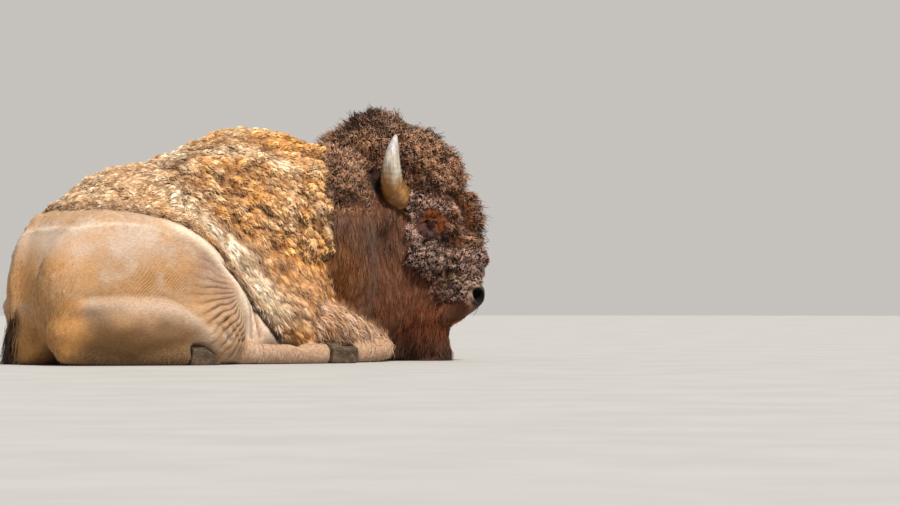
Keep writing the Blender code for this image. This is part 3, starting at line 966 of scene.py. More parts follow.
class Paint:
    # colours laid one over another on the skin's points, with the mottling they share

    def __init__(self, f):
        self.wide, self.mid, self.fine = (noise(f.points, size, seed) for size, seed in mottling)
        self.colour = np.tile(coatColours["wool"], (len(f.points), 1))

    def layer(self, name, share):
        self.colour += (coatColours[name] - self.colour) * np.clip(share, 0, 1)[:, None]


def paintWool(f, paint):
    b, wide, mid, layer = f.body, paint.wide, paint.mid, paint.layer
    layer("woolPale", 0.30 + 0.55 * wide + 0.35 * mid)
    layer("woolGold", 0.25 + 0.30 * f.shoulder + 0.45 * f.collar - 0.5 * wide - 0.4 * mid)
    layer("back", 0.7 * ease(b[:, 2], 0.50, 0.62) * f.loin)
    layer("apron", 0.75 * f.apron * (0.8 + 0.5 * mid))
    for name, spot, strength in woolSpots:
        layer(name, strength * nearSpot(b, *spot))
    layer("woolPale", 0.95 * nearLine(f, paleBand, 0.055) * f.wool)
    layer("woolDeep", 0.35 * f.matEdge)
    layer("woolDeep", 0.30 * f.collar * (0.6 + 0.6 * mid))
    # painted shade in the cracks and grooves of the wool's mats
    layer("crack", 0.95 * f.cracks)


def paintHaunch(f, paint):
    # the short coat of the haunch, flank and feet
    b, bare, layer = f.body, f.bare, paint.layer
    wide, mid, fine = paint.wide, paint.mid, paint.fine
    layer("haunch", bare)
    layer("haunchPale", bare * nearSpots(b, bodySpots["haunchPale"]) * 0.8)
    layer("gold", bare * nearSpots(b, bodySpots["gold"]) * 0.75)
    layer("gold", bare * ease(mid + 0.9 * wide + 0.3 * fine, -0.3, 1.2) * 0.50)
    layer("haunchPale", bare * ease(-mid - 0.5 * wide + 0.4 * fine, -0.3, 1.2) * 0.60)
    layer("gold", bare * nearLine(f, raised(folds["rollLine"], 0.03), 0.035) * 0.6)
    # painted highlight along the top of the gaskin's roll
    layer("haunchPale", f.rollTop * 0.55 * (0.8 + 0.5 * mid))
    # painted shade low on the haunch, under the gaskin's roll
    under = 1 - ease(b[:, 2] + 0.03 * mid, 0.10, 0.215)
    layer("olive", bare * under * ease(-b[:, 0], 0.46, 0.60))
    buttock = ease(-b[:, 0] + 0.04 * mid, 0.88, 1.00) * (1 - ease(b[:, 2] + 0.06 * mid, 0.30, 0.50))
    layer("ochre", bare * buttock * 0.75)
    layer("purple", f.haunch * nearSpots(b, bodySpots["purple"]) * 0.7)
    layer("cream", np.clip(f.ridge * 1.15, 0, 1) * 0.9)
    # painted shade in the thin grooves beside the ridge
    layer("olive", f.ridgeGroove * 0.6)
    layer("gold", f.rimBand * (0.5 + 0.5 * fine) * 0.7)
    layer("cream", f.hairLine * 0.5 * (0.8 + 0.8 * fine))
    layer("flank", f.strip * (1 - f.haunch) * 0.95)
    layer("olive", f.strip * (1 - f.haunch) * (1 - ease(b[:, 2], 0.06, 0.14)) * 0.7)
    # painted shade in the flank's crease
    layer("crack", f.flankCrease * 0.7)
    # painted shade in the gap between the flank's bare strip and the wool
    layer("hollow", np.clip(f.gap * 1.2, 0, 1) * 0.9)
    layer("shin", f.feet * (0.75 + 0.3 * mid) * ease(b[:, 0], -0.56, -0.44))


def paintMane(f, paint):
    # mane, neck, throat and fore legs
    b, h, dark, mid, layer = f.body, f.head, f.dark, paint.mid, paint.layer
    layer("mane", dark)
    layer("manePurple", dark * nearSpots(b, bodySpots["manePurple"]) * 0.9)
    layer("maneOlive", dark * nearSpots(b, bodySpots["maneOlive"]) * 0.95)
    layer("maneRed", dark * nearSpots(h, headSpots["maneRed"]) * 0.85)
    layer("maneRed", dark * ease(noise(f.points, 0.12, 86) + 0.5 * mid, 0.15, 1.0) * 0.5)
    layer("nape", f.throat * (ease(b[:, 2], 0.52, 0.62) * (1 - ease(b[:, 0], 0.24, 0.36))) * 0.8)
    lower = 1 - ease(h[:, 2], 0.14, 0.32)
    layer("beard", f.throat * lower * ease(h[:, 0], -0.10, 0.05) * 0.85)
    layer("beardDark", f.throat * (1 - ease(h[:, 2] + 0.03 * mid, 0.03, 0.13)) * 0.8)
    layer("beardDark", f.tuft)
    layer("forearm", f.forearm * 0.9 * (0.85 + 0.4 * mid))


def paintMop(f, paint):
    # the curls over the brow and poll, darker along the top and front
    h, wide, mid, layer = f.head, paint.wide, paint.mid, paint.layer
    layer("mop", f.mop)
    layer("mopLight", f.mop * ease(mid + 0.6 * wide, -0.2, 0.8) * 0.85)
    layer("mopLight", f.mop * nearSpots(h, headSpots["mopLight"]) * 0.8)
    f.mopShade = ease(-mid - 0.5 * wide, 0.0, 0.8)
    layer("mopDark", f.mop * f.mopShade * 0.7)
    layer("mopOrange", f.mop * ease(h[:, 0], 0.20, 0.28) * (0.75 + 0.4 * mid))
    f.mopEdge = ease(h[:, 2], 0.80, 0.90) + ease(h[:, 0], 0.29, 0.35) * ease(h[:, 2], 0.40, 0.48)
    layer("mopDark", f.mop * f.mopEdge * 0.6)


def paintFace(f, paint):
    h, dark, layer = f.head, f.dark, paint.layer
    wide, mid, fine = paint.wide, paint.mid, paint.fine
    layer("face", f.face)
    layer("facePale", f.face * ease(mid + 0.7 * fine, -0.2, 0.8) * 0.8)
    # random patches of painted shade over the face's wool
    layer("hollow", f.face * ease(-mid - 0.5 * wide, 0.1, 0.9) * 0.6)
    layer("facePale", (f.face + f.mop) * nearPath(h, regions["curlRidge"], 0.011) * 0.9)
    layer("faceGold", f.face * nearSpots(h, headSpots["faceGold"]) * 0.6)
    f.lowCheek = f.face * (1 - ease(h[:, 2], 0.30, 0.40)) * (1 - ease(h[:, 0], 0.19, 0.24))
    layer("maneRed", f.lowCheek * 0.7)
    # painted shade in the head's hollows
    layer("hollow", f.hollows * 0.92)
    bareBrow = f.brow * dark * (1 - 0.8 * f.mop)
    layer("browOrange", bareBrow)
    low = (1 - ease(h[:, 2], 0.500, 0.517)) * (1 - ease(h[:, 0] - 0.5 * (0.50 - h[:, 2]), 0.158, 0.176))
    back = 1 - ease(h[:, 0] - 0.4 * (h[:, 2] - 0.52), 0.108, 0.132)
    layer("browPurple", bareBrow * np.maximum(low, back))
    layer("facePale", 0.8 * nearPath(h, lidEdge, 0.0035) * dark)
    # painted shade under the eye's lower lid
    layer("hollow", dark * nearSpots(h, headSpots["underEye"]) * 0.8)
    layer("ear", f.ear * 0.85)


def paintMuzzle(f, paint):
    # lips, bare nose and nostrils
    h, dark, layer = f.head, f.dark, paint.layer
    mid, fine = paint.mid, paint.fine
    out = np.abs(h[:, 1])
    layer("lips", f.lips)
    layer("beardDark", f.lips * ease(mid + 0.6 * fine, 0.0, 0.9) * 0.5)
    layer("lipsBright", f.lips * (1 - ease(out, 0.010, 0.035)) * 0.7)
    layer("noseSkin", f.muzzle)
    rim = np.clip(nearSpots(h, headSpots["nosePale"]), 0, 1) * ease(out, 0.02, 0.04)
    layer("nosePale", dark * rim * ease(fine + 0.6 * mid, -0.9, 0.1))
    side = ease(out, 0.006, 0.016) * ease(h[:, 0], 0.24, 0.29)
    # the nostril's dark lining, with painted shade deep in its pit
    layer("nostril", (1 - ease(nostrilShare(h), 0.85, 1.10)) * side * dark)
    # painted shade in the groove of the mouth
    layer("mouth", mouthLineOf(h) * 0.85)


def paintCoat(f):
    paint = Paint(f)
    for part in (paintWool, paintHaunch, paintMane, paintMop, paintFace, paintMuzzle):
        part(f, paint)
    # painted shade in the crevices between clumps
    shaded = paint.colour * (1 - 0.45 * np.clip(f.crevice, 0, 1))[:, None] ** warmShade
    f.colour = np.clip(shaded, 0.002, 1)
    # tips are painted paler, partly bleach and partly painted highlight, less so low on the cheek, in
    # hollows, in the mop's shade and where the face's wool ends
    ending = ease(f.face, 0.02, 0.10) * (1 - ease(f.face, 0.45, 0.95))
    ending *= 1 - ease(f.head[:, 0], 0.26, 0.29)
    mopShade = f.mop * (0.7 * f.mopShade + 0.3 * f.mopEdge)
    f.pale = np.clip(1 - 0.8 * f.lowCheek - 0.95 * f.hollows - mopShade - 0.8 * ending, 0, 1)


def setColour(mesh, name, colour):
    attribute = mesh.attributes.new(name, "FLOAT_COLOR", "POINT")
    whole = np.concatenate([colour, np.ones((len(colour), 1))], 1)
    attribute.data.foreach_set("color", whole.astype(np.float32).ravel())


def setValue(mesh, name, values):
    attribute = mesh.attributes.new(name, "FLOAT", "POINT")
    attribute.data.foreach_set("value", np.asarray(values, np.float32))


paintCoat(fields)
setColour(skin.data, "coat", fields.colour)
setValue(skin.data, "woolly", fields.wool + fields.mop + fields.throat + fields.face + 0.6 * fields.muzzle)
for name in ("fanPhase", "fanShare", "strokePhase", "strokeShare"):
    setValue(skin.data, name, getattr(fields, name))
print("stage: coat painted")


# Shader maths is written as expressions on sockets.
class Wire:
    # a socket of one material; sums and products on it add Math nodes

    def __init__(self, shader, socket):
        self.shader = shader
        self.socket = socket

    def math(self, operation, *values):
        return self.shader.node("ShaderNodeMath", {"operation": operation}, dict(enumerate(values)))

    def __add__(self, other):
        return self.math("ADD", self, other)

    __radd__ = __add__

    def __sub__(self, other):
        return self.math("SUBTRACT", self, other)

    def __rsub__(self, other):
        return self.math("SUBTRACT", other, self)

    def __mul__(self, other):
        return self.math("MULTIPLY", self, other)

    __rmul__ = __mul__

    def __pow__(self, other):
        return self.math("POWER", self, other)

    def ramp(self, low, high, bottom=0.0, top=1.0):
        settings = {"clamp": True, "interpolation_type": "SMOOTHSTEP"}
        values = {0: self, 1: low, 2: high, 3: bottom, 4: top}
        return self.shader.node("ShaderNodeMapRange", settings, values)


class Shader:
    # one material with a Principled shader

    def __init__(self, name, **constants):
        self.material = bpy.data.materials.new(name)
        self.material.use_nodes = True
        self.tree = self.material.node_tree
        self.principled = self.tree.nodes["Principled BSDF"]
        for socket, value in constants.items():
            self.principled.inputs[socket.replace("_", " ")].default_value = value

    def link(self, socket, value):
        if isinstance(value, Wire):
            self.tree.links.new(value.socket, socket)
        else:
            socket.default_value = value

    def node(self, kind, settings=None, values=None, output=0):
        node = self.tree.nodes.new(kind)
        for name, value in (settings or {}).items():
            setattr(node, name, value)
        for key, value in (values or {}).items():
            self.link(node.inputs[key], value)
        return Wire(self, node.outputs[output])

    def attribute(self, name, output="Fac"):
        return self.node("ShaderNodeAttribute", {"attribute_name": name}, output=output)

    def place(self):
        return self.node("ShaderNodeTexCoord", output="Object")

    def noise(self, scale, detail=2.0, vector=None, roughness=0.5):
        place = vector or self.place()
        values = {"Vector": place, "Scale": scale, "Detail": detail, "Roughness": roughness}
        return self.node("ShaderNodeTexNoise", None, values, "Fac")

    def stretched(self, scale, turn=(0, 0, 0)):
        values = {"Vector": self.place(), "Rotation": turn, "Scale": scale}
        return self.node("ShaderNodeMapping", None, values)

    def mix(self, share, first, second, blendType="MIX"):
        settings = {"data_type": "RGBA", "blend_type": blendType}
        return self.node("ShaderNodeMix", settings, {0: share, 6: first, 7: second}, 2)

    def warm(self, value):
        # a shade whose darks are warmer
        return self.node("ShaderNodeCombineColor", None, {0: value, 1: value**1.2, 2: value**1.4})

    def bump(self, height, distance, strength=1.0):
        values = {"Height": height, "Distance": distance, "Strength": strength}
        return self.node("ShaderNodeBump", None, values)

    def set(self, **sockets):
        for name, value in sockets.items():
            self.link(self.principled.inputs[name.replace("_", " ")], value)
        return self.material


# The coat's materials: painted shade at a lock's root, and how far and to what colour its tip pales, part
# bleach, part painted highlight.
coatMaterials = {
    "woolCoat": {"rootShade": 0.86, "tipLift": 0.18, "sheen": 0.08, "tipColour": (1.0, 0.86, 0.66, 1)},
    "darkCoat": {"rootShade": 0.74, "tipLift": 0.06, "sheen": 0.05, "tipColour": (1.0, 0.86, 0.66, 1)},
    "mopCoat": {"rootShade": 0.32, "tipLift": 0.54, "sheen": 0.05, "tipColour": (0.92, 0.64, 0.45, 1)},
    "faceCoat": {"rootShade": 0.24, "tipLift": 0.66, "sheen": 0.05, "tipColour": (0.90, 0.64, 0.54, 1)},
}


def coatMaterial(name, rootShade, tipLift, sheen, tipColour):
    # locks: painted shade at the root, and a paler tip that is partly bleach and partly painted highlight
    shader = Shader(name, Specular_IOR_Level=0.12, Sheen_Weight=sheen, Sheen_Roughness=0.45)
    shader.principled.inputs["Sheen Tint"].default_value = (1.0, 0.90, 0.76, 1)
    coat = shader.attribute("coat", "Color")
    along = shader.attribute("along")
    pale = shader.attribute("pale")
    streak = shader.noise(420, 1.0)
    light = along.ramp(0.0, 0.70, rootShade, 1.0) * (0.84 + 0.32 * streak)
    shaded = shader.mix(1.0, coat, shader.warm(light), "MULTIPLY")
    tips = shader.mix(along.ramp(0.40, 1.0, 0.0, tipLift) * pale, shaded, tipColour)
    return shader.set(Base_Color=tips, Roughness=0.62 + 0.25 * streak)


hideLooks = {
    "hairScale": (60, 240, 260),
    "hairTurn": (0, 0.5, 0),
    "tuftScale": 85,
    "broadScale": 16,
    "wrinkleShade": 0.90,
    "bumpHeight": 0.005,
    "sheenTint": (1.0, 0.92, 0.80, 1),
}


def wrinkleLines(shader, name, broad):
    # thin lines of painted shade at the troughs of the wrinkles that the skin's points carry
    phase = shader.attribute(name + "Phase") + 0.5 * broad
    wave = shader.node("ShaderNodeMath", {"operation": "SINE"}, {0: phase})
    line = (1 - shader.node("ShaderNodeMath", {"operation": "ABSOLUTE"}, {0: wave})) ** 1.6
    return line * shader.attribute(name + "Share")


def hideMaterial():
    # short fur: fine streaks along the fall of the coat, with painted shade in thin wrinkles on the haunch
    shader = Shader("hide", Specular_IOR_Level=0.15, Sheen_Weight=0.12, Sheen_Roughness=0.40)
    shader.principled.inputs["Sheen Tint"].default_value = hideLooks["sheenTint"]
    coat = shader.attribute("coat", "Color")
    woolly = shader.attribute("woolly")
    hairs = shader.noise(1.0, 5.0, shader.stretched(hideLooks["hairScale"], hideLooks["hairTurn"]), 0.68)
    tufts = shader.noise(hideLooks["tuftScale"], 4.0, None, 0.6)
    broad = shader.noise(hideLooks["broadScale"], 2.0)
    wrinkles = wrinkleLines(shader, "fan", broad) + wrinkleLines(shader, "stroke", broad)
    light = 0.78 + 0.26 * hairs.ramp(0.34, 0.66) + 0.07 * tufts.ramp(0.36, 0.66)
    # skin where wool grows is painted darker, as shade under the locks
    dimmed = light * (1 - 0.35 * woolly) * (0.97 + 0.06 * broad)
    dimmed *= 1 - hideLooks["wrinkleShade"] * wrinkles
    colour = shader.mix(1.0, coat, shader.warm(dimmed), "MULTIPLY")
    height = hairs * 0.22 + tufts * (0.06 + 0.7 * woolly) - wrinkles
    bump = shader.bump(height, hideLooks["bumpHeight"], 0.7)
    return shader.set(Base_Color=colour, Roughness=0.66 + 0.20 * hairs, Normal=bump)


skin.data.materials.clear()
skin.data.materials.append(hideMaterial())


# Locks grow from the skin: they follow the lie of the hair and gather in its clumps.
bodyLie = (-0.85, 0.0, -0.50)
lies = {
    "shoulder": (0.50, 0.0, -0.86),
    "collar": (0.10, 0.0, -1.0),
    "apron": (0.58, 0.0, -0.81),
    "hump": (0.9, 0.0, -0.35),
    "haunch": (-0.45, 0.0, -1.0),
    "strip": (0.0, 0.0, -1.0),
    "throat": (-0.10, 0.0, -1.0),
    "beard": (-0.05, 0.0, -1.0),
}
# in the head's axes
headLies = {"face": (-0.55, 0.0, -0.65), "lips": (-0.25, 0.0, -1.0), "muzzle": (-0.8, 0.0, 0.4)}


def flowField(f):
    # the way the hair lies at each point of the skin, along the surface
    b, h = f.body, f.head
    flow = np.tile(np.array(bodyLie), (len(b), 1))

    def lay(direction, share):
        nonlocal flow
        flow = flow + (np.asarray(direction) - flow) * share[:, None]

    for name in ("shoulder", "collar", "apron"):
        lay(lies[name], getattr(f, name))
    over = ease(b[:, 2], 0.70, 0.78) * (f.shoulder + f.collar)
    lay(lies["hump"], over * ease(b[:, 0], -0.20, -0.05))
    lay(lies["haunch"], f.haunch)
    lay(lies["strip"], f.strip * (1 - f.haunch))
    lay(lies["throat"], f.throat)
    fromPoll = unit(h - np.array([-0.05, 0.0, 0.66]))
    fromPoll[:, 2] -= 0.45
    lay(fromPoll @ turnRows.T, f.mop)
    for name, direction in headLies.items():
        lay(np.array(direction) @ turnRows.T, getattr(f, name))
    lay(lies["beard"], f.of("beard"))
    flow += 0.25 * np.stack([noise(f.points, 0.14, k) for k in (91, 92, 93)], -1)
    flow -= f.smooth * np.sum(flow * f.smooth, 1, keepdims=True)
    for axis in range(3):
        flow[:, axis] = blurred(flow[:, axis], f.edges, 3)
    return unit(flow)


class Ground:
    # the skin's triangles, on which locks are scattered

    def __init__(self, mesh, f):
        mesh.calc_loop_triangles()
        count = len(mesh.loop_triangles)
        corners = np.empty(count * 3, np.int32)
        loops = np.empty(count * 3, np.int32)
        mesh.loop_triangles.foreach_get("vertices", corners)
        mesh.loop_triangles.foreach_get("loops", loops)
        spots = np.empty(len(mesh.loops) * 2, np.float32)
        mesh.uv_layers["OFBake"].data.foreach_get("uv", spots)
        self.corners = corners.reshape(-1, 3)
        self.uv = spots.reshape(-1, 2)[loops.reshape(-1, 3)]
        a, b, c = (f.points[self.corners[:, k]] for k in range(3))
        self.area = np.linalg.norm(np.cross(b - a, c - a), axis=1) / 2

    def scatter(self, weight, count, rng):
        # picks the roots and returns the weighted area
        share = self.area * weight[self.corners].mean(1)
        edges = np.cumsum(share)
        marks = (np.arange(count) + rng.random(count)) * edges[-1] / count
        self.chosen = np.minimum(np.searchsorted(edges, marks), len(share) - 1)
        u, v = rng.random(count), rng.random(count)
        over = u + v > 1
        u, v = np.where(over, 1 - u, u), np.where(over, 1 - v, v)
        self.mix = np.stack([1 - u - v, u, v], 1)
        return edges[-1]

    def at(self, values):
        # the skin's values at the picked roots
        picked = values[self.corners[self.chosen]]
        weights = self.mix if values.ndim == 1 else self.mix[:, :, None]
        return (picked * weights).sum(1)

    def uvAt(self):
        return (self.uv[self.chosen] * self.mix[:, :, None]).sum(1)


def meshFrom(name, points, triangles):
    mesh = bpy.data.meshes.new(name)
    mesh.vertices.add(len(points))
    mesh.vertices.foreach_set("co", points.astype(np.float32).ravel())
    mesh.loops.add(triangles.size)
    mesh.loops.foreach_set("vertex_index", triangles.astype(np.int32).ravel())
    mesh.polygons.add(len(triangles))
    mesh.polygons.foreach_set("loop_start", np.arange(len(triangles), dtype=np.int32) * 3)
    mesh.update(calc_edges=True)
    return mesh


def lockFaces(spans):
    # a closed lock of three sides: a cap at the root, bands, and a point
    faces = [(2, 1, 0)]
    for ring in range(spans - 1):
        for side in range(3):
            a, b = ring * 3 + side, ring * 3 + (side + 1) % 3
            faces += [(a, b, b + 3), (a, b + 3, a + 3)]
    last = (spans - 1) * 3
    faces += [(last + side, last + (side + 1) % 3, spans * 3) for side in range(3)]
    return np.array(faces)


lowestLock = 0.0006  # above the floor
uvPatch = 0.003  # each lock is a small patch of the skin's own map


class Locks:
    # the places, directions, sizes and tones of one piece's locks

    def __init__(self, weight, look):
        rng = np.random.default_rng(look["seed"])
        count = look["count"]
        lump = lumps[look["lump"]]
        self.look = look
        self.area = ground.scatter(weight, count, rng)
        self.root = ground.at(fields.points)
        self.smooth = unit(ground.at(fields.smooth))
        flow = unit(ground.at(fields.flow))
        inside, chance, outwards = lumpsAt(self.root, look["lump"])
        outwards -= self.smooth * np.sum(outwards * self.smooth, 1, keepdims=True)
        far = np.linalg.norm(outwards, axis=1, keepdims=True)
        self.outwards = outwards * np.minimum(1, lump["size"] * lump["stretch"] / np.maximum(far, 1e-6))
        loose = rng.random(count) < look["loose"]
        self.reach = look["reach"] * (0.7 + 0.6 * rng.random(count)) * np.where(loose, 1.25, 1)
        full = 1 - 0.90 * np.clip(ground.at(fields.cracks + fields.gap + fields.hollows), 0, 1)
        flat = 1 - look["topFlat"] * ease(self.smooth[:, 2], 0.35, 0.9)
        self.dome = look["dome"] * (0.55 + 0.75 * chance) * full * flat
        self.stray = look["stray"] * np.where(loose, 0.5 + rng.random(count), 0.12) * full
        self.lean = flow * look["lean"] * lump["size"]
        across = np.cross(self.smooth, flow)
        self.lie = unit(flow + across * (look["wander"] * rng.standard_normal(count))[:, None])
        self.side = unit(np.cross(self.lie, self.smooth))
        self.turn = rng.random(count) * math.tau
        self.curl = look["curl"] * (0.5 + rng.random(count)) * np.where(loose, 1.4, 1)
        self.width = look["width"] * (0.65 + 0.7 * rng.random(count)) * np.where(loose, 0.7, 1)
        tone = 1 + look["variety"] * (rng.random(count) - 0.5) + look["uneven"] * (chance - 0.5)
        # locks at a clump's edge are painted darker, as shade between clumps
        tone *= blend(look["edgeTone"], 1.05, inside ** look["margin"])
        tone *= np.where(loose, look["looseTone"], 1)
        self.tone = np.maximum(tone, 0.1)

    def middle(self, t):
        # each lock's middle at this share of its length, and the way its rounded clump faces there
        look = self.look
        lump = lumps[look["lump"]]
        offset = self.outwards * (1 + look["open"] * t) + self.lie * (self.reach * (t - 0.35))[:, None]
        spread = (offset - self.lean) @ squeezeOf(lump)
        edge = np.linalg.norm(spread, axis=1) / (0.55 * lump["size"])
        top = np.sqrt(np.clip(1 - edge**2, 0, 1))
        lifted = 0.5 + 0.5 * math.sin(min(1.4 * t, 1) * math.pi / 2)
        height = self.dome * top * lifted + self.stray * t**1.3 - look["sink"] * (1 - t) ** 2
        angle = self.turn + look["turns"] * math.tau * t
        sway = self.curl * math.sin(min(1.5 * t, 1) * math.pi / 2)
        spot = self.root + offset - self.outwards
        spot += self.smooth * (height + 0.7 * sway * np.sin(angle))[:, None]
        spot += self.side * (sway * np.cos(angle))[:, None]
        spot[:, 2] -= look["fall"] * self.stray * t
        slope = look["roundness"] * np.minimum(edge, 1.2)
        return spot, unit(self.smooth + unit(spread) * slope[:, None])

    def corners(self, middles):
        # three corners round each step of a lock, then its point
        points = []
        for start, end, taper in zip(middles, middles[1:], self.look["taper"]):
            ahead = unit(end - start)
            aside = unit(np.cross(ahead, self.smooth))
            above = np.cross(aside, ahead)
            for corner in range(3):
                angle = self.turn + corner * math.tau / 3
                wide = self.width * taper / 2 * np.cos(angle)
                thick = self.width * taper / 2 * 0.6 * np.sin(angle)
                points.append(start + aside * wide[:, None] - above * thick[:, None])
        points.append(middles[-1])
        points = np.stack(points, 1)
        points[:, :, 2] = np.maximum(points[:, :, 2], lowestLock)
        return points


def growLocks(name, weight, look, material):
    locks = Locks(weight, look)
    count, spans = look["count"], look["spans"]
    steps = np.linspace(0, 1, spans + 1)
    middles, facing = zip(*(locks.middle(t) for t in steps))
    points = locks.corners(middles)
    perLock = spans * 3 + 1
    step = np.arange(perLock) // 3
    triangles = (lockFaces(spans)[None] + (np.arange(count) * perLock)[:, None, None]).reshape(-1, 3)
    mesh = meshFrom(name, points.reshape(-1, 3), triangles)
    colour = ground.at(fields.colour) * locks.tone[:, None] ** warmShade
    setColour(mesh, "coat", np.repeat(np.clip(colour, 0.002, 0.95), perLock, 0))
    setValue(mesh, "along", np.tile(steps[step], count))
    setValue(mesh, "pale", np.repeat(ground.at(fields.pale), perLock))
    patch = np.stack([np.arange(perLock) % 3 / 3 - 0.33, steps[step] - 0.5], -1) * uvPatch
    spots = (ground.uvAt()[:, None, :] + patch).reshape(-1, 2)
    layer = mesh.uv_layers.new(name="OFBake")
    layer.data.foreach_set("uv", spots[triangles.reshape(-1)].astype(np.float32).ravel())
    # each lock is shaded partly as itself and partly as the clump it lies on
    shadeSmooth(mesh)
    own = unit(points - np.stack([middles[k] for k in step], 1) + 1e-7)
    domed = np.stack([facing[k] for k in step], 1)
    own[:, -1] = domed[:, -1]
    shade = unit(blend(own, domed, look["soften"]))
    mesh.normals_split_custom_set_from_vertices(shade.reshape(-1, 3).astype(np.float32))
    mesh.materials.append(material)
    piece = newObject(name, mesh)
    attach(piece, "root")
    density = round(count / locks.area)
    print("stage:", name, len(mesh.polygons), "triangles,", density, "locks to a square metre")


# What a look of the coat says:
#   lump: the clumps it follows
#   reach, open, lean: how far a lock runs, how it spreads from its clump's middle and leans along the hair
#   dome, roundness, topFlat: how high and how round the clump stands, and how much lower on the back
#   loose, stray, looseTone: the share of loose locks, how far they stand off, and their tone
#   wander, curl, turns, fall, width: how crooked, curled, drooping and wide a lock is
#   variety, uneven: how far tones differ from lock to lock and from clump to clump
#   edgeTone, margin: how dark the clump's edge is painted, as shade between clumps, and how wide that edge
#       is
#   spans, taper, sink, soften: the lock's steps, their widths, its depth at the root and how it is shaded
commonLook = {"topFlat": 0, "looseTone": 1.0, "margin": 1, "sink": 0.004}
twoSpans = {"spans": 2, "taper": (0.85, 1.0), "soften": 0.60}
threeSpans = {"spans": 3, "taper": (0.8, 1.0, 0.80), "soften": 0.62}
coatLooks = {
    "loin": {
        "lump": "loin", "reach": 0.018, "dome": 0.005, "loose": 0.14, "stray": 0.004, "open": 0.1,
        "wander": 0.4, "curl": 0.0011, "turns": 0.7, "width": 0.0054, "fall": 0.2, "roundness": 0.8,
        "edgeTone": 0.58, "topFlat": 0.6, "uneven": 0.3, "lean": 0.22, "variety": 0.26, "soften": 0.82,
    },
    "shoulder": {
        "lump": "shoulder", "reach": 0.019, "dome": 0.0072, "loose": 0.14, "stray": 0.005, "open": 0.1,
        "wander": 0.45, "curl": 0.0014, "turns": 0.8, "width": 0.0056, "fall": 0.3, "roundness": 0.85,
        "edgeTone": 0.5, "topFlat": 0.5, "uneven": 0.35, "lean": 0.25, "variety": 0.28, "soften": 0.8,
    },
    "collar": {
        "lump": "collar", "reach": 0.019, "dome": 0.0125, "loose": 0.2, "stray": 0.007, "open": 0.05,
        "wander": 1.0, "curl": 0.0028, "turns": 0.9, "width": 0.0052, "fall": 0.4, "roundness": 1.1,
        "edgeTone": 0.3, "topFlat": 0.3, "uneven": 0.5, "lean": 0.2, "variety": 0.34, "soften": 0.74,
    },
    "apron": {
        "lump": "apron", "reach": 0.03, "dome": 0.0045, "loose": 0.15, "stray": 0.006, "open": 0.05,
        "wander": 0.18, "curl": 0.0008, "turns": 0.6, "width": 0.0048, "fall": 0.2, "roundness": 0.6,
        "edgeTone": 0.72, "uneven": 0.3, "lean": 0.25, "variety": 0.28, "soften": 0.74,
    },
    "mop": {
        "lump": "mop", "reach": 0.022, "dome": 0.025, "loose": 0.28, "stray": 0.024, "open": 0.35,
        "wander": 0.9, "curl": 0.0046, "turns": 1.25, "width": 0.0036, "fall": 0.25, "roundness": 1.0,
        "edgeTone": 0.22, "uneven": 0.95, "lean": 0.15, "variety": 0.6, "looseTone": 0.6, "margin": 2.2,
    },
    "mane": {
        "lump": "throat", "reach": 0.044, "dome": 0.002, "loose": 0.15, "stray": 0.006, "open": -0.2,
        "wander": 0.16, "curl": 0.001, "turns": 0.7, "width": 0.0044, "fall": 0.3, "roundness": 0.2,
        "edgeTone": 0.92, "uneven": 0.1, "lean": 0.1, "variety": 0.1,
    },
    "beard": {
        "lump": "throat", "reach": 0.07, "dome": 0.005, "loose": 0.35, "stray": 0.014, "open": -0.2,
        "wander": 0.22, "curl": 0.003, "turns": 0.9, "width": 0.0046, "fall": 0.5, "roundness": 0.4,
        "edgeTone": 0.8, "uneven": 0.2, "lean": 0.1, "variety": 0.25, "looseTone": 0.9,
    },
    "face": {
        "lump": "face", "reach": 0.014, "dome": 0.0165, "loose": 0.16, "stray": 0.005, "open": 0.2,
        "wander": 0.6, "curl": 0.0026, "turns": 1.1, "width": 0.0042, "fall": 0.3, "roundness": 1.1,
        "edgeTone": 0.2, "uneven": 0.95, "lean": 0.2, "variety": 0.45, "looseTone": 0.9, "margin": 2.2,
    },
    "short": {
        "lump": "short", "reach": 0.016, "dome": 0.0006, "loose": 0.5, "stray": 0.004, "open": 0.0,
        "wander": 0.25, "curl": 0.0005, "turns": 0.5, "width": 0.003, "fall": 0.2, "roundness": 0.2,
        "edgeTone": 0.95, "uneven": 0.2, "lean": 0.0, "variety": 0.5,
    },
    "shaggy": {
        "lump": "apron", "reach": 0.034, "dome": 0.006, "loose": 0.4, "stray": 0.01, "open": 0.05,
        "wander": 0.3, "curl": 0.0018, "turns": 0.7, "width": 0.0042, "fall": 0.5, "roundness": 0.5,
        "edgeTone": 0.75, "uneven": 0.3, "lean": 0.1, "variety": 0.4, "looseTone": 1.1,
    },
}


hornShape = {
    # centre and radius along the horn in the head's axes: x, out to the side, z, radius
    "path": (
        (0.040, 0.080, 0.606, 0.034),
        (0.034, 0.150, 0.606, 0.046),
        (0.012, 0.215, 0.650, 0.043),
        (0.008, 0.242, 0.715, 0.035),
        (0.012, 0.236, 0.775, 0.024),
        (0.020, 0.212, 0.822, 0.011),
        (0.024, 0.200, 0.838, 0.003),
    ),
    "rings": 72,
    "sides": 40,
    "ridge": 0.0011,
    "ridgeWaves": 150,  # growth rings at the root, in radians over the horn's length
    "grooves": 9,
    "chipAt": 0.80,  # a worn hollow near the tip
    "chipDepth": 0.10,
    "tipRadius": 0.0015,
    "tipLength": 0.002,
    "clearance": 0.010,  # how far from the sheath locks take root at full thickness
}


def alongPath(path, t):
    # a smooth curve through the path's points
    path = np.array(path)
    spot = t * (len(path) - 1)
    k = min(int(spot), len(path) - 2)
    u = spot - k
    before, start, end, after = path[max(k - 1, 0)], path[k], path[k + 1], path[min(k + 2, len(path) - 1)]
    cubic = 3 * (start - end) + after - before
    square = 2 * before - 5 * start + 4 * end - after
    return start + 0.5 * u * (end - before + u * (square + u * cubic))


nearSide = np.array([-0.10, -1.0, 0.25])  # the side of the body that gets the finer locks


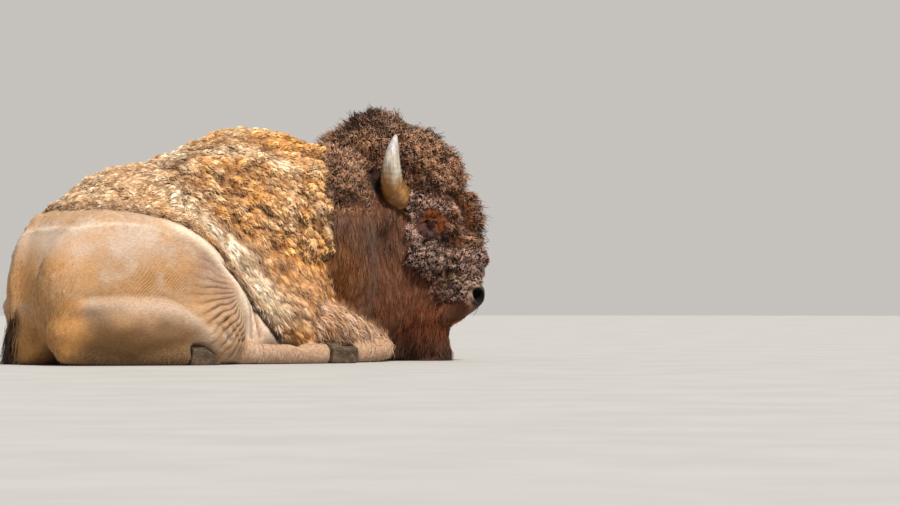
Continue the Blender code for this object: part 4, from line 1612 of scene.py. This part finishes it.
def growCoat():
    f = fields
    near = (f.smooth @ nearSide > -0.1) * 1.0
    notUnder = 1 - 0.85 * ease(-f.smooth[:, 2], 0.35, 0.8)
    right = (f.head[:, 1] <= 0) * 1.0
    far = 1 - near
    side = 1 - f.forearm
    clear = outsideHorns(f.head)
    mane = f.throat * (1 - f.of("beard")) * clear
    foreCannon = f.of("fore_cannon_right", "fore_cannon_left")
    facial = f.face * (1 - f.brow) * (1 - f.muzzle) * (1 - 0.95 * f.hollows)
    pieces = (
        ("woolLoinNear", "loin", f.loin * near, 9000, "woolCoat", threeSpans),
        ("woolShoulderNear", "shoulder", f.shoulder * near, 12100, "woolCoat", threeSpans),
        ("woolCollarNear", "collar", f.collar * near, 4800, "woolCoat", threeSpans),
        ("woolApronNear", "apron", f.apron * near * side, 8000, "woolCoat", threeSpans),
        ("woolLoinFar", "loin", f.loin * far, 5000, "woolCoat", twoSpans),
        ("woolShoulderFar", "shoulder", (f.shoulder + f.apron) * far * side, 12000, "woolCoat", twoSpans),
        ("woolCollarFar", "collar", f.collar * far, 3600, "woolCoat", twoSpans),
        ("forearmHair", "shaggy", f.forearm * f.wool + 0.35 * foreCannon, 3000, "woolCoat", threeSpans),
        ("mopRight", "mop", f.mop * right * clear * (1 - 0.95 * f.hollows), 9800, "mopCoat", threeSpans),
        ("mopLeft", "mop", f.mop * (1 - right) * clear, 7000, "mopCoat", threeSpans),
        ("mane", "mane", mane, 9500, "darkCoat", twoSpans),
        ("beardHair", "beard", f.throat * f.of("beard") + f.tuft, 3400, "darkCoat", threeSpans),
        ("faceWool", "face", facial, 11000, "faceCoat", threeSpans),
        ("shortFur", "short", bodyFur(f), 9200, "woolCoat", twoSpans),
        ("faceFur", "short", faceFur(f), 1600, "darkCoat", twoSpans),
    )
    materials = {name: coatMaterial(name, **looks) for name, looks in coatMaterials.items()}
    for index, (name, kind, weight, count, coat, form) in enumerate(pieces):
        look = {**commonLook, **form, **coatLooks[kind], "count": count, "seed": 101 + index}
        slotName = "tan_wool" if coat == "woolCoat" else "brown_mane"
        growLocks(name, np.clip(weight, 0, 1) ** 1.5 * notUnder, look, materials[coat])


def outsideHorns(h):
    # 0 where the skin lies in the root of a horn, 1 clear of it
    spot = np.stack([h[:, 0], np.abs(h[:, 1]), h[:, 2]], -1)
    clear = np.ones(len(h))
    for t in np.linspace(0, 0.6, 25):
        x, y, z, radius = alongPath(hornShape["path"], t)
        away = np.linalg.norm(spot - (x, y, z), axis=1)
        clear = np.minimum(clear, ease(away, radius, radius + hornShape["clearance"]))
    return clear


def bodyFur(f):
    # tufts where the short coat of the body breaks its form
    b = f.body
    buttock = f.bare * ease(-b[:, 0], 0.92, 1.02) * (1 - ease(b[:, 2], 0.30, 0.45))
    strip = f.strip * (1 - f.haunch)
    tufts = 0.8 * f.hairLine + 0.6 * f.rimBand + 1.6 * buttock + 1.6 * f.feet
    return tufts + 0.25 * strip + 0.08 * f.rollTop


def faceFur(f):
    # short hair on the lips and round the eyes, but none over the balls
    fromEye = np.hypot(f.head[:, 0] - eyeInHead.x, f.head[:, 2] - eyeInHead.z)
    lidded = ease(fromEye, 0.026, 0.036)
    rim = f.muzzle * ease(nostrilShare(f.head), 1.20, 1.40) * ease(f.head[:, 2], 0.235, 0.250)
    rim *= ease(np.abs(f.head[:, 1]), 0.015, 0.030) * ease(-f.head[:, 0], -0.335, -0.315)
    chin = 1 - ease(f.head[:, 0], 0.280, 0.302)
    return f.lips * chin + 0.7 * f.brow * f.dark * (1 - f.mop) * lidded + 1.6 * rim


fields.flow = flowField(fields)
ground = Ground(skin.data, fields)
growCoat()


def finishPiece(name, mesh, material, node):
    mesh.materials.clear()
    mesh.materials.append(material)
    shadeSmooth(mesh)
    piece = newObject(name, mesh)
    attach(piece, "root")
    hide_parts(node)


eyeLooks = {
    "gaze": (0.30, 1.0, -0.06),  # forwards, outwards and up, in the head's axes
    "bulge": 0.13,  # how far the clear front stands out, as a share of the radius
    "bulgeAngle": 0.40,
    "irisDark": (0.020, 0.008, 0.004, 1),
    "irisLight": (0.060, 0.026, 0.011, 1),
    "pupil": (0.002, 0.002, 0.002, 1),
    "white": (0.10, 0.055, 0.04, 1),
}


def eyeMaterial():
    shader = Shader("eyeball", Specular_IOR_Level=0.12, Coat_Weight=0.45, Coat_Roughness=0.03)
    ring = shader.attribute("ring")
    iris = shader.mix(shader.noise(900, 2.0), eyeLooks["irisDark"], eyeLooks["irisLight"])
    pupil = shader.mix(ring.ramp(0.20, 0.26), eyeLooks["pupil"], iris)
    white = shader.mix(ring.ramp(0.62, 0.74), pupil, eyeLooks["white"])
    return shader.set(Base_Color=white, Roughness=0.12)


def buildEyes():
    material = eyeMaterial()
    radius = eyeShape["ball"]
    forwards, outwards, up = eyeLooks["gaze"]
    for side, name in ((-1, "right"), (1, "left")):
        bm = bmesh.new()
        bmesh.ops.create_uvsphere(bm, u_segments=48, v_segments=32, radius=radius)
        mesh = bpy.data.meshes.new("eye_" + name)
        bm.to_mesh(mesh)
        bm.free()
        points = pointsOf(mesh)
        gaze = unit(np.array([forwards, side * outwards, up]))
        angle = np.arccos(np.clip(unit(points) @ gaze, -1, 1))
        points *= (0.95 + eyeLooks["bulge"] * bell(angle, 0, eyeLooks["bulgeAngle"]))[:, None]
        # the pupil lies level, so rings round it are wide ovals
        level = points @ np.cross(gaze, [0, 0, 1])
        ring = 0.8 * np.hypot(0.55 * level / radius, points[:, 2] / radius) + 0.175 * angle
        setPoints(mesh, fromHead(points + np.array([eyeInHead.x, side * -eyeInHead.y, eyeInHead.z])))
        setValue(mesh, "ring", np.where(angle > 1.4, 1.0, ring))
        finishPiece("eyeball_" + name, mesh, material, "eye_" + name)


buildEyes()


hornColours = {
    # darker and lighter horn at the base, the middle and the tip, and the fine cracks
    "base": ((0.22, 0.090, 0.022, 1), (0.44, 0.215, 0.055, 1)),
    "middle": ((0.20, 0.16, 0.12, 1), (0.50, 0.44, 0.36, 1)),
    "tip": ((0.30, 0.28, 0.275, 1), (0.50, 0.485, 0.49, 1)),
    "crack": (0.10, 0.07, 0.05, 1),
}


def hornMaterial():
    shader = Shader("hornKeratin", Specular_IOR_Level=0.45, Coat_Weight=0.12, Coat_Roughness=0.35)
    along = shader.attribute("along")
    grain = shader.noise(60, 4.0, shader.stretched((1.0, 1.0, 0.16)), 0.6)
    fine = shader.noise(260, 3.0, shader.stretched((1.0, 1.0, 0.12)))
    patch = shader.noise(26, 3.0)
    base = shader.mix(patch.ramp(0.35, 0.65), *hornColours["base"])
    middle = shader.mix(grain.ramp(0.30, 0.70), *hornColours["middle"])
    tip = shader.mix(grain.ramp(0.25, 0.75), *hornColours["tip"])
    lower = shader.mix((along + 0.25 * grain - 0.12).ramp(0.36, 0.52), base, middle)
    colour = shader.mix((along + 0.35 * patch - 0.17).ramp(0.56, 0.76), lower, tip)
    colour = shader.mix((1 - fine.ramp(0.30, 0.46)) * 0.55, colour, hornColours["crack"])
    height = grain * 0.6 + fine * 0.4
    bump = shader.bump(height, 0.0022, 0.7)
    return shader.set(Base_Color=colour, Roughness=0.34 + 0.30 * grain, Normal=bump)


def hornRadius(t, angle, plain):
    # growth rings at the root, shallow grooves along the sheath and a worn hollow near the tip
    ridges = math.sin(hornShape["ridgeWaves"] * t + 0.5 * math.sin(3 * angle)) * (1 - ease(t, 0.45, 0.62))
    grooves = 0.35 * math.sin(hornShape["grooves"] * angle + 3 * t) * ease(t, 0.1, 0.4)
    chip = bell(t, hornShape["chipAt"], 0.05) * math.exp(-(math.sin(angle / 2 + 0.6) / 0.45) ** 2)
    relief = hornShape["ridge"] * (ridges + grooves) * min(plain / 0.02, 1)
    return max(plain * (1 - hornShape["chipDepth"] * chip) + relief, hornShape["tipRadius"])


def hornPoints():
    # rings round the horn's path, then its point, with each point's place along the horn
    points, along = [], []
    for t in np.linspace(0, 1, hornShape["rings"]):
        *spot, plain = alongPath(hornShape["path"], t)
        ahead = alongPath(hornShape["path"], min(t + 0.01, 1))
        behind = alongPath(hornShape["path"], max(t - 0.01, 0))
        line = unit((ahead - behind)[:3])
        across = unit(np.cross(line, [1.0, 0, 0]))
        other = np.cross(across, line)
        for k in range(hornShape["sides"]):
            angle = k / hornShape["sides"] * math.tau
            outwards = across * math.cos(angle) + other * math.sin(angle)
            points.append(spot + hornRadius(t, angle, plain) * outwards)
            along.append(t)
    points.append(spot + hornShape["tipLength"] * line)
    along.append(1.0)
    return np.array(points), along


def hornFaces():
    sides, last = hornShape["sides"], (hornShape["rings"] - 1) * hornShape["sides"]
    faces = [tuple(reversed(range(sides)))]
    for k in range(sides):
        after = (k + 1) % sides
        for ring in range(0, last, sides):
            faces.append((ring + k, ring + after, ring + after + sides, ring + k + sides))
        faces.append((last + k, last + after, last + sides))
    return faces


def buildHorns():
    material = hornMaterial()
    for side, name in ((-1, "right"), (1, "left")):
        points, along = hornPoints()
        points[:, 1] *= side
        mesh = bpy.data.meshes.new("horn_" + name)
        mesh.from_pydata(fromHead(points).tolist(), [], hornFaces())
        bm = bmesh.new()
        bm.from_mesh(mesh)
        bmesh.ops.recalc_face_normals(bm, faces=bm.faces)
        bm.to_mesh(mesh)
        bm.free()
        setValue(mesh, "along", along)
        finishPiece("hornSheath_" + name, mesh, material, "horn_" + name)


buildHorns()
print("stage: eyes and horns built")


hoofLooks = {
    "voxel": 0.0035,
    "smoothRounds": 4,
    "dark": (0.030, 0.021, 0.015, 1),
    "light": (0.090, 0.062, 0.042, 1),
    "dust": (0.24, 0.165, 0.10, 1),
}


def hoofMaterial():
    shader = Shader("hoofKeratin", Specular_IOR_Level=0.16)
    grain = shader.noise(90, 4.0, shader.stretched((1.0, 1.0, 3.2)))
    dust = shader.noise(30, 3.0)
    colour = shader.mix(grain.ramp(0.3, 0.7), hoofLooks["dark"], hoofLooks["light"])
    colour = shader.mix(dust.ramp(0.45, 0.75, 0.05, 0.50), colour, hoofLooks["dust"])
    bump = shader.bump(grain, 0.0015, 0.7)
    return shader.set(Base_Color=colour, Roughness=0.60 + 0.3 * dust, Normal=bump)


def buildHooves():
    material = hoofMaterial()
    for name in (node for node in frame["nodes"] if "hoof" in node):
        rough = newObject("rough_" + name, frame["nodes"][name].data.copy())
        mesh = remeshed(rough, hoofLooks["voxel"], hoofLooks["smoothRounds"]).data
        bpy.data.objects.remove(rough)
        points = pointsOf(mesh)
        points[:, 2] = np.maximum(points[:, 2], 0)
        setPoints(mesh, points)
        finishPiece("keratin_" + name, mesh, material, name)


buildHooves()

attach(skin, "root")
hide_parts(*(name for name in frame["nodes"] if isFlesh(name) and "eye" not in name))
skin.data.calc_loop_triangles()
print("stage: skin has", len(skin.data.loop_triangles), "triangles")


# Camera, floor and light.
studio = {
    "azimuth": math.radians(-38),
    "across": 0.7535,  # how far the aim lies along the view's right from the body's start
    "aimHeight": 0.40,
    "distance": 14.0,
    "cameraHeight": 0.25,
    "lens": 152.32,
    "floorSize": 60.0,
    "floorDark": (0.385, 0.378, 0.368, 1),
    "floorLight": (0.415, 0.408, 0.398, 1),
    "keyFrom": (0.75, 0.42, 1.20),  # where the light comes from: back to the camera, to its right, and up
    "keyPower": 4.6,
    "keySpread": math.radians(7),
    "keyColour": (1.0, 0.96, 0.90),
    "worldColour": (1.0, 0.965, 0.92, 1),
    "worldPower": 0.56,
}
azimuth = studio["azimuth"]
backward = Vector((math.sin(azimuth), -math.cos(azimuth), 0))
rightward = Vector((math.cos(azimuth), math.sin(azimuth), 0))


def buildCamera():
    aim = bodyStart + rightward * studio["across"] + Vector((0, 0, studio["aimHeight"]))
    data = bpy.data.cameras.new("camera")
    data.lens = studio["lens"]
    data.sensor_width = 36
    data.clip_end = 200
    camera = newObject("camera", data)
    camera.location = aim + backward * studio["distance"]
    camera.location.z = studio["cameraHeight"]
    camera.rotation_euler = (aim - camera.location).to_track_quat("-Z", "Y").to_euler()
    bpy.context.scene.camera = camera


def buildFloor():
    bm = bmesh.new()
    bmesh.ops.create_circle(bm, cap_ends=True, segments=96, radius=studio["floorSize"] / 2)
    mesh = bpy.data.meshes.new("floor")
    bm.to_mesh(mesh)
    bm.free()
    shader = Shader("paleFloor", Specular_IOR_Level=0.1)
    mottle = shader.noise(3.0, 3.0)
    colour = shader.mix(mottle.ramp(0.3, 0.7), studio["floorDark"], studio["floorLight"])
    mesh.materials.append(shader.set(Base_Color=colour, Roughness=0.9))
    newObject("floor", mesh)


def buildLight():
    key = bpy.data.lights.new("key", "SUN")
    key.energy = studio["keyPower"]
    key.angle = studio["keySpread"]
    key.color = studio["keyColour"]
    lamp = newObject("key", key)
    back, right, up = studio["keyFrom"]
    toLight = backward * back + rightward * right + Vector((0, 0, up))
    lamp.rotation_euler = toLight.to_track_quat("Z", "Y").to_euler()
    world = bpy.data.worlds.new("studio")
    world.use_nodes = True
    background = world.node_tree.nodes["Background"]
    background.inputs["Color"].default_value = studio["worldColour"]
    background.inputs["Strength"].default_value = studio["worldPower"]
    bpy.context.scene.world = world
    bpy.context.scene.view_settings.view_transform = "Standard"


buildCamera()
buildFloor()
buildLight()
print("stage: camera, floor and light set")


print("stage: done")
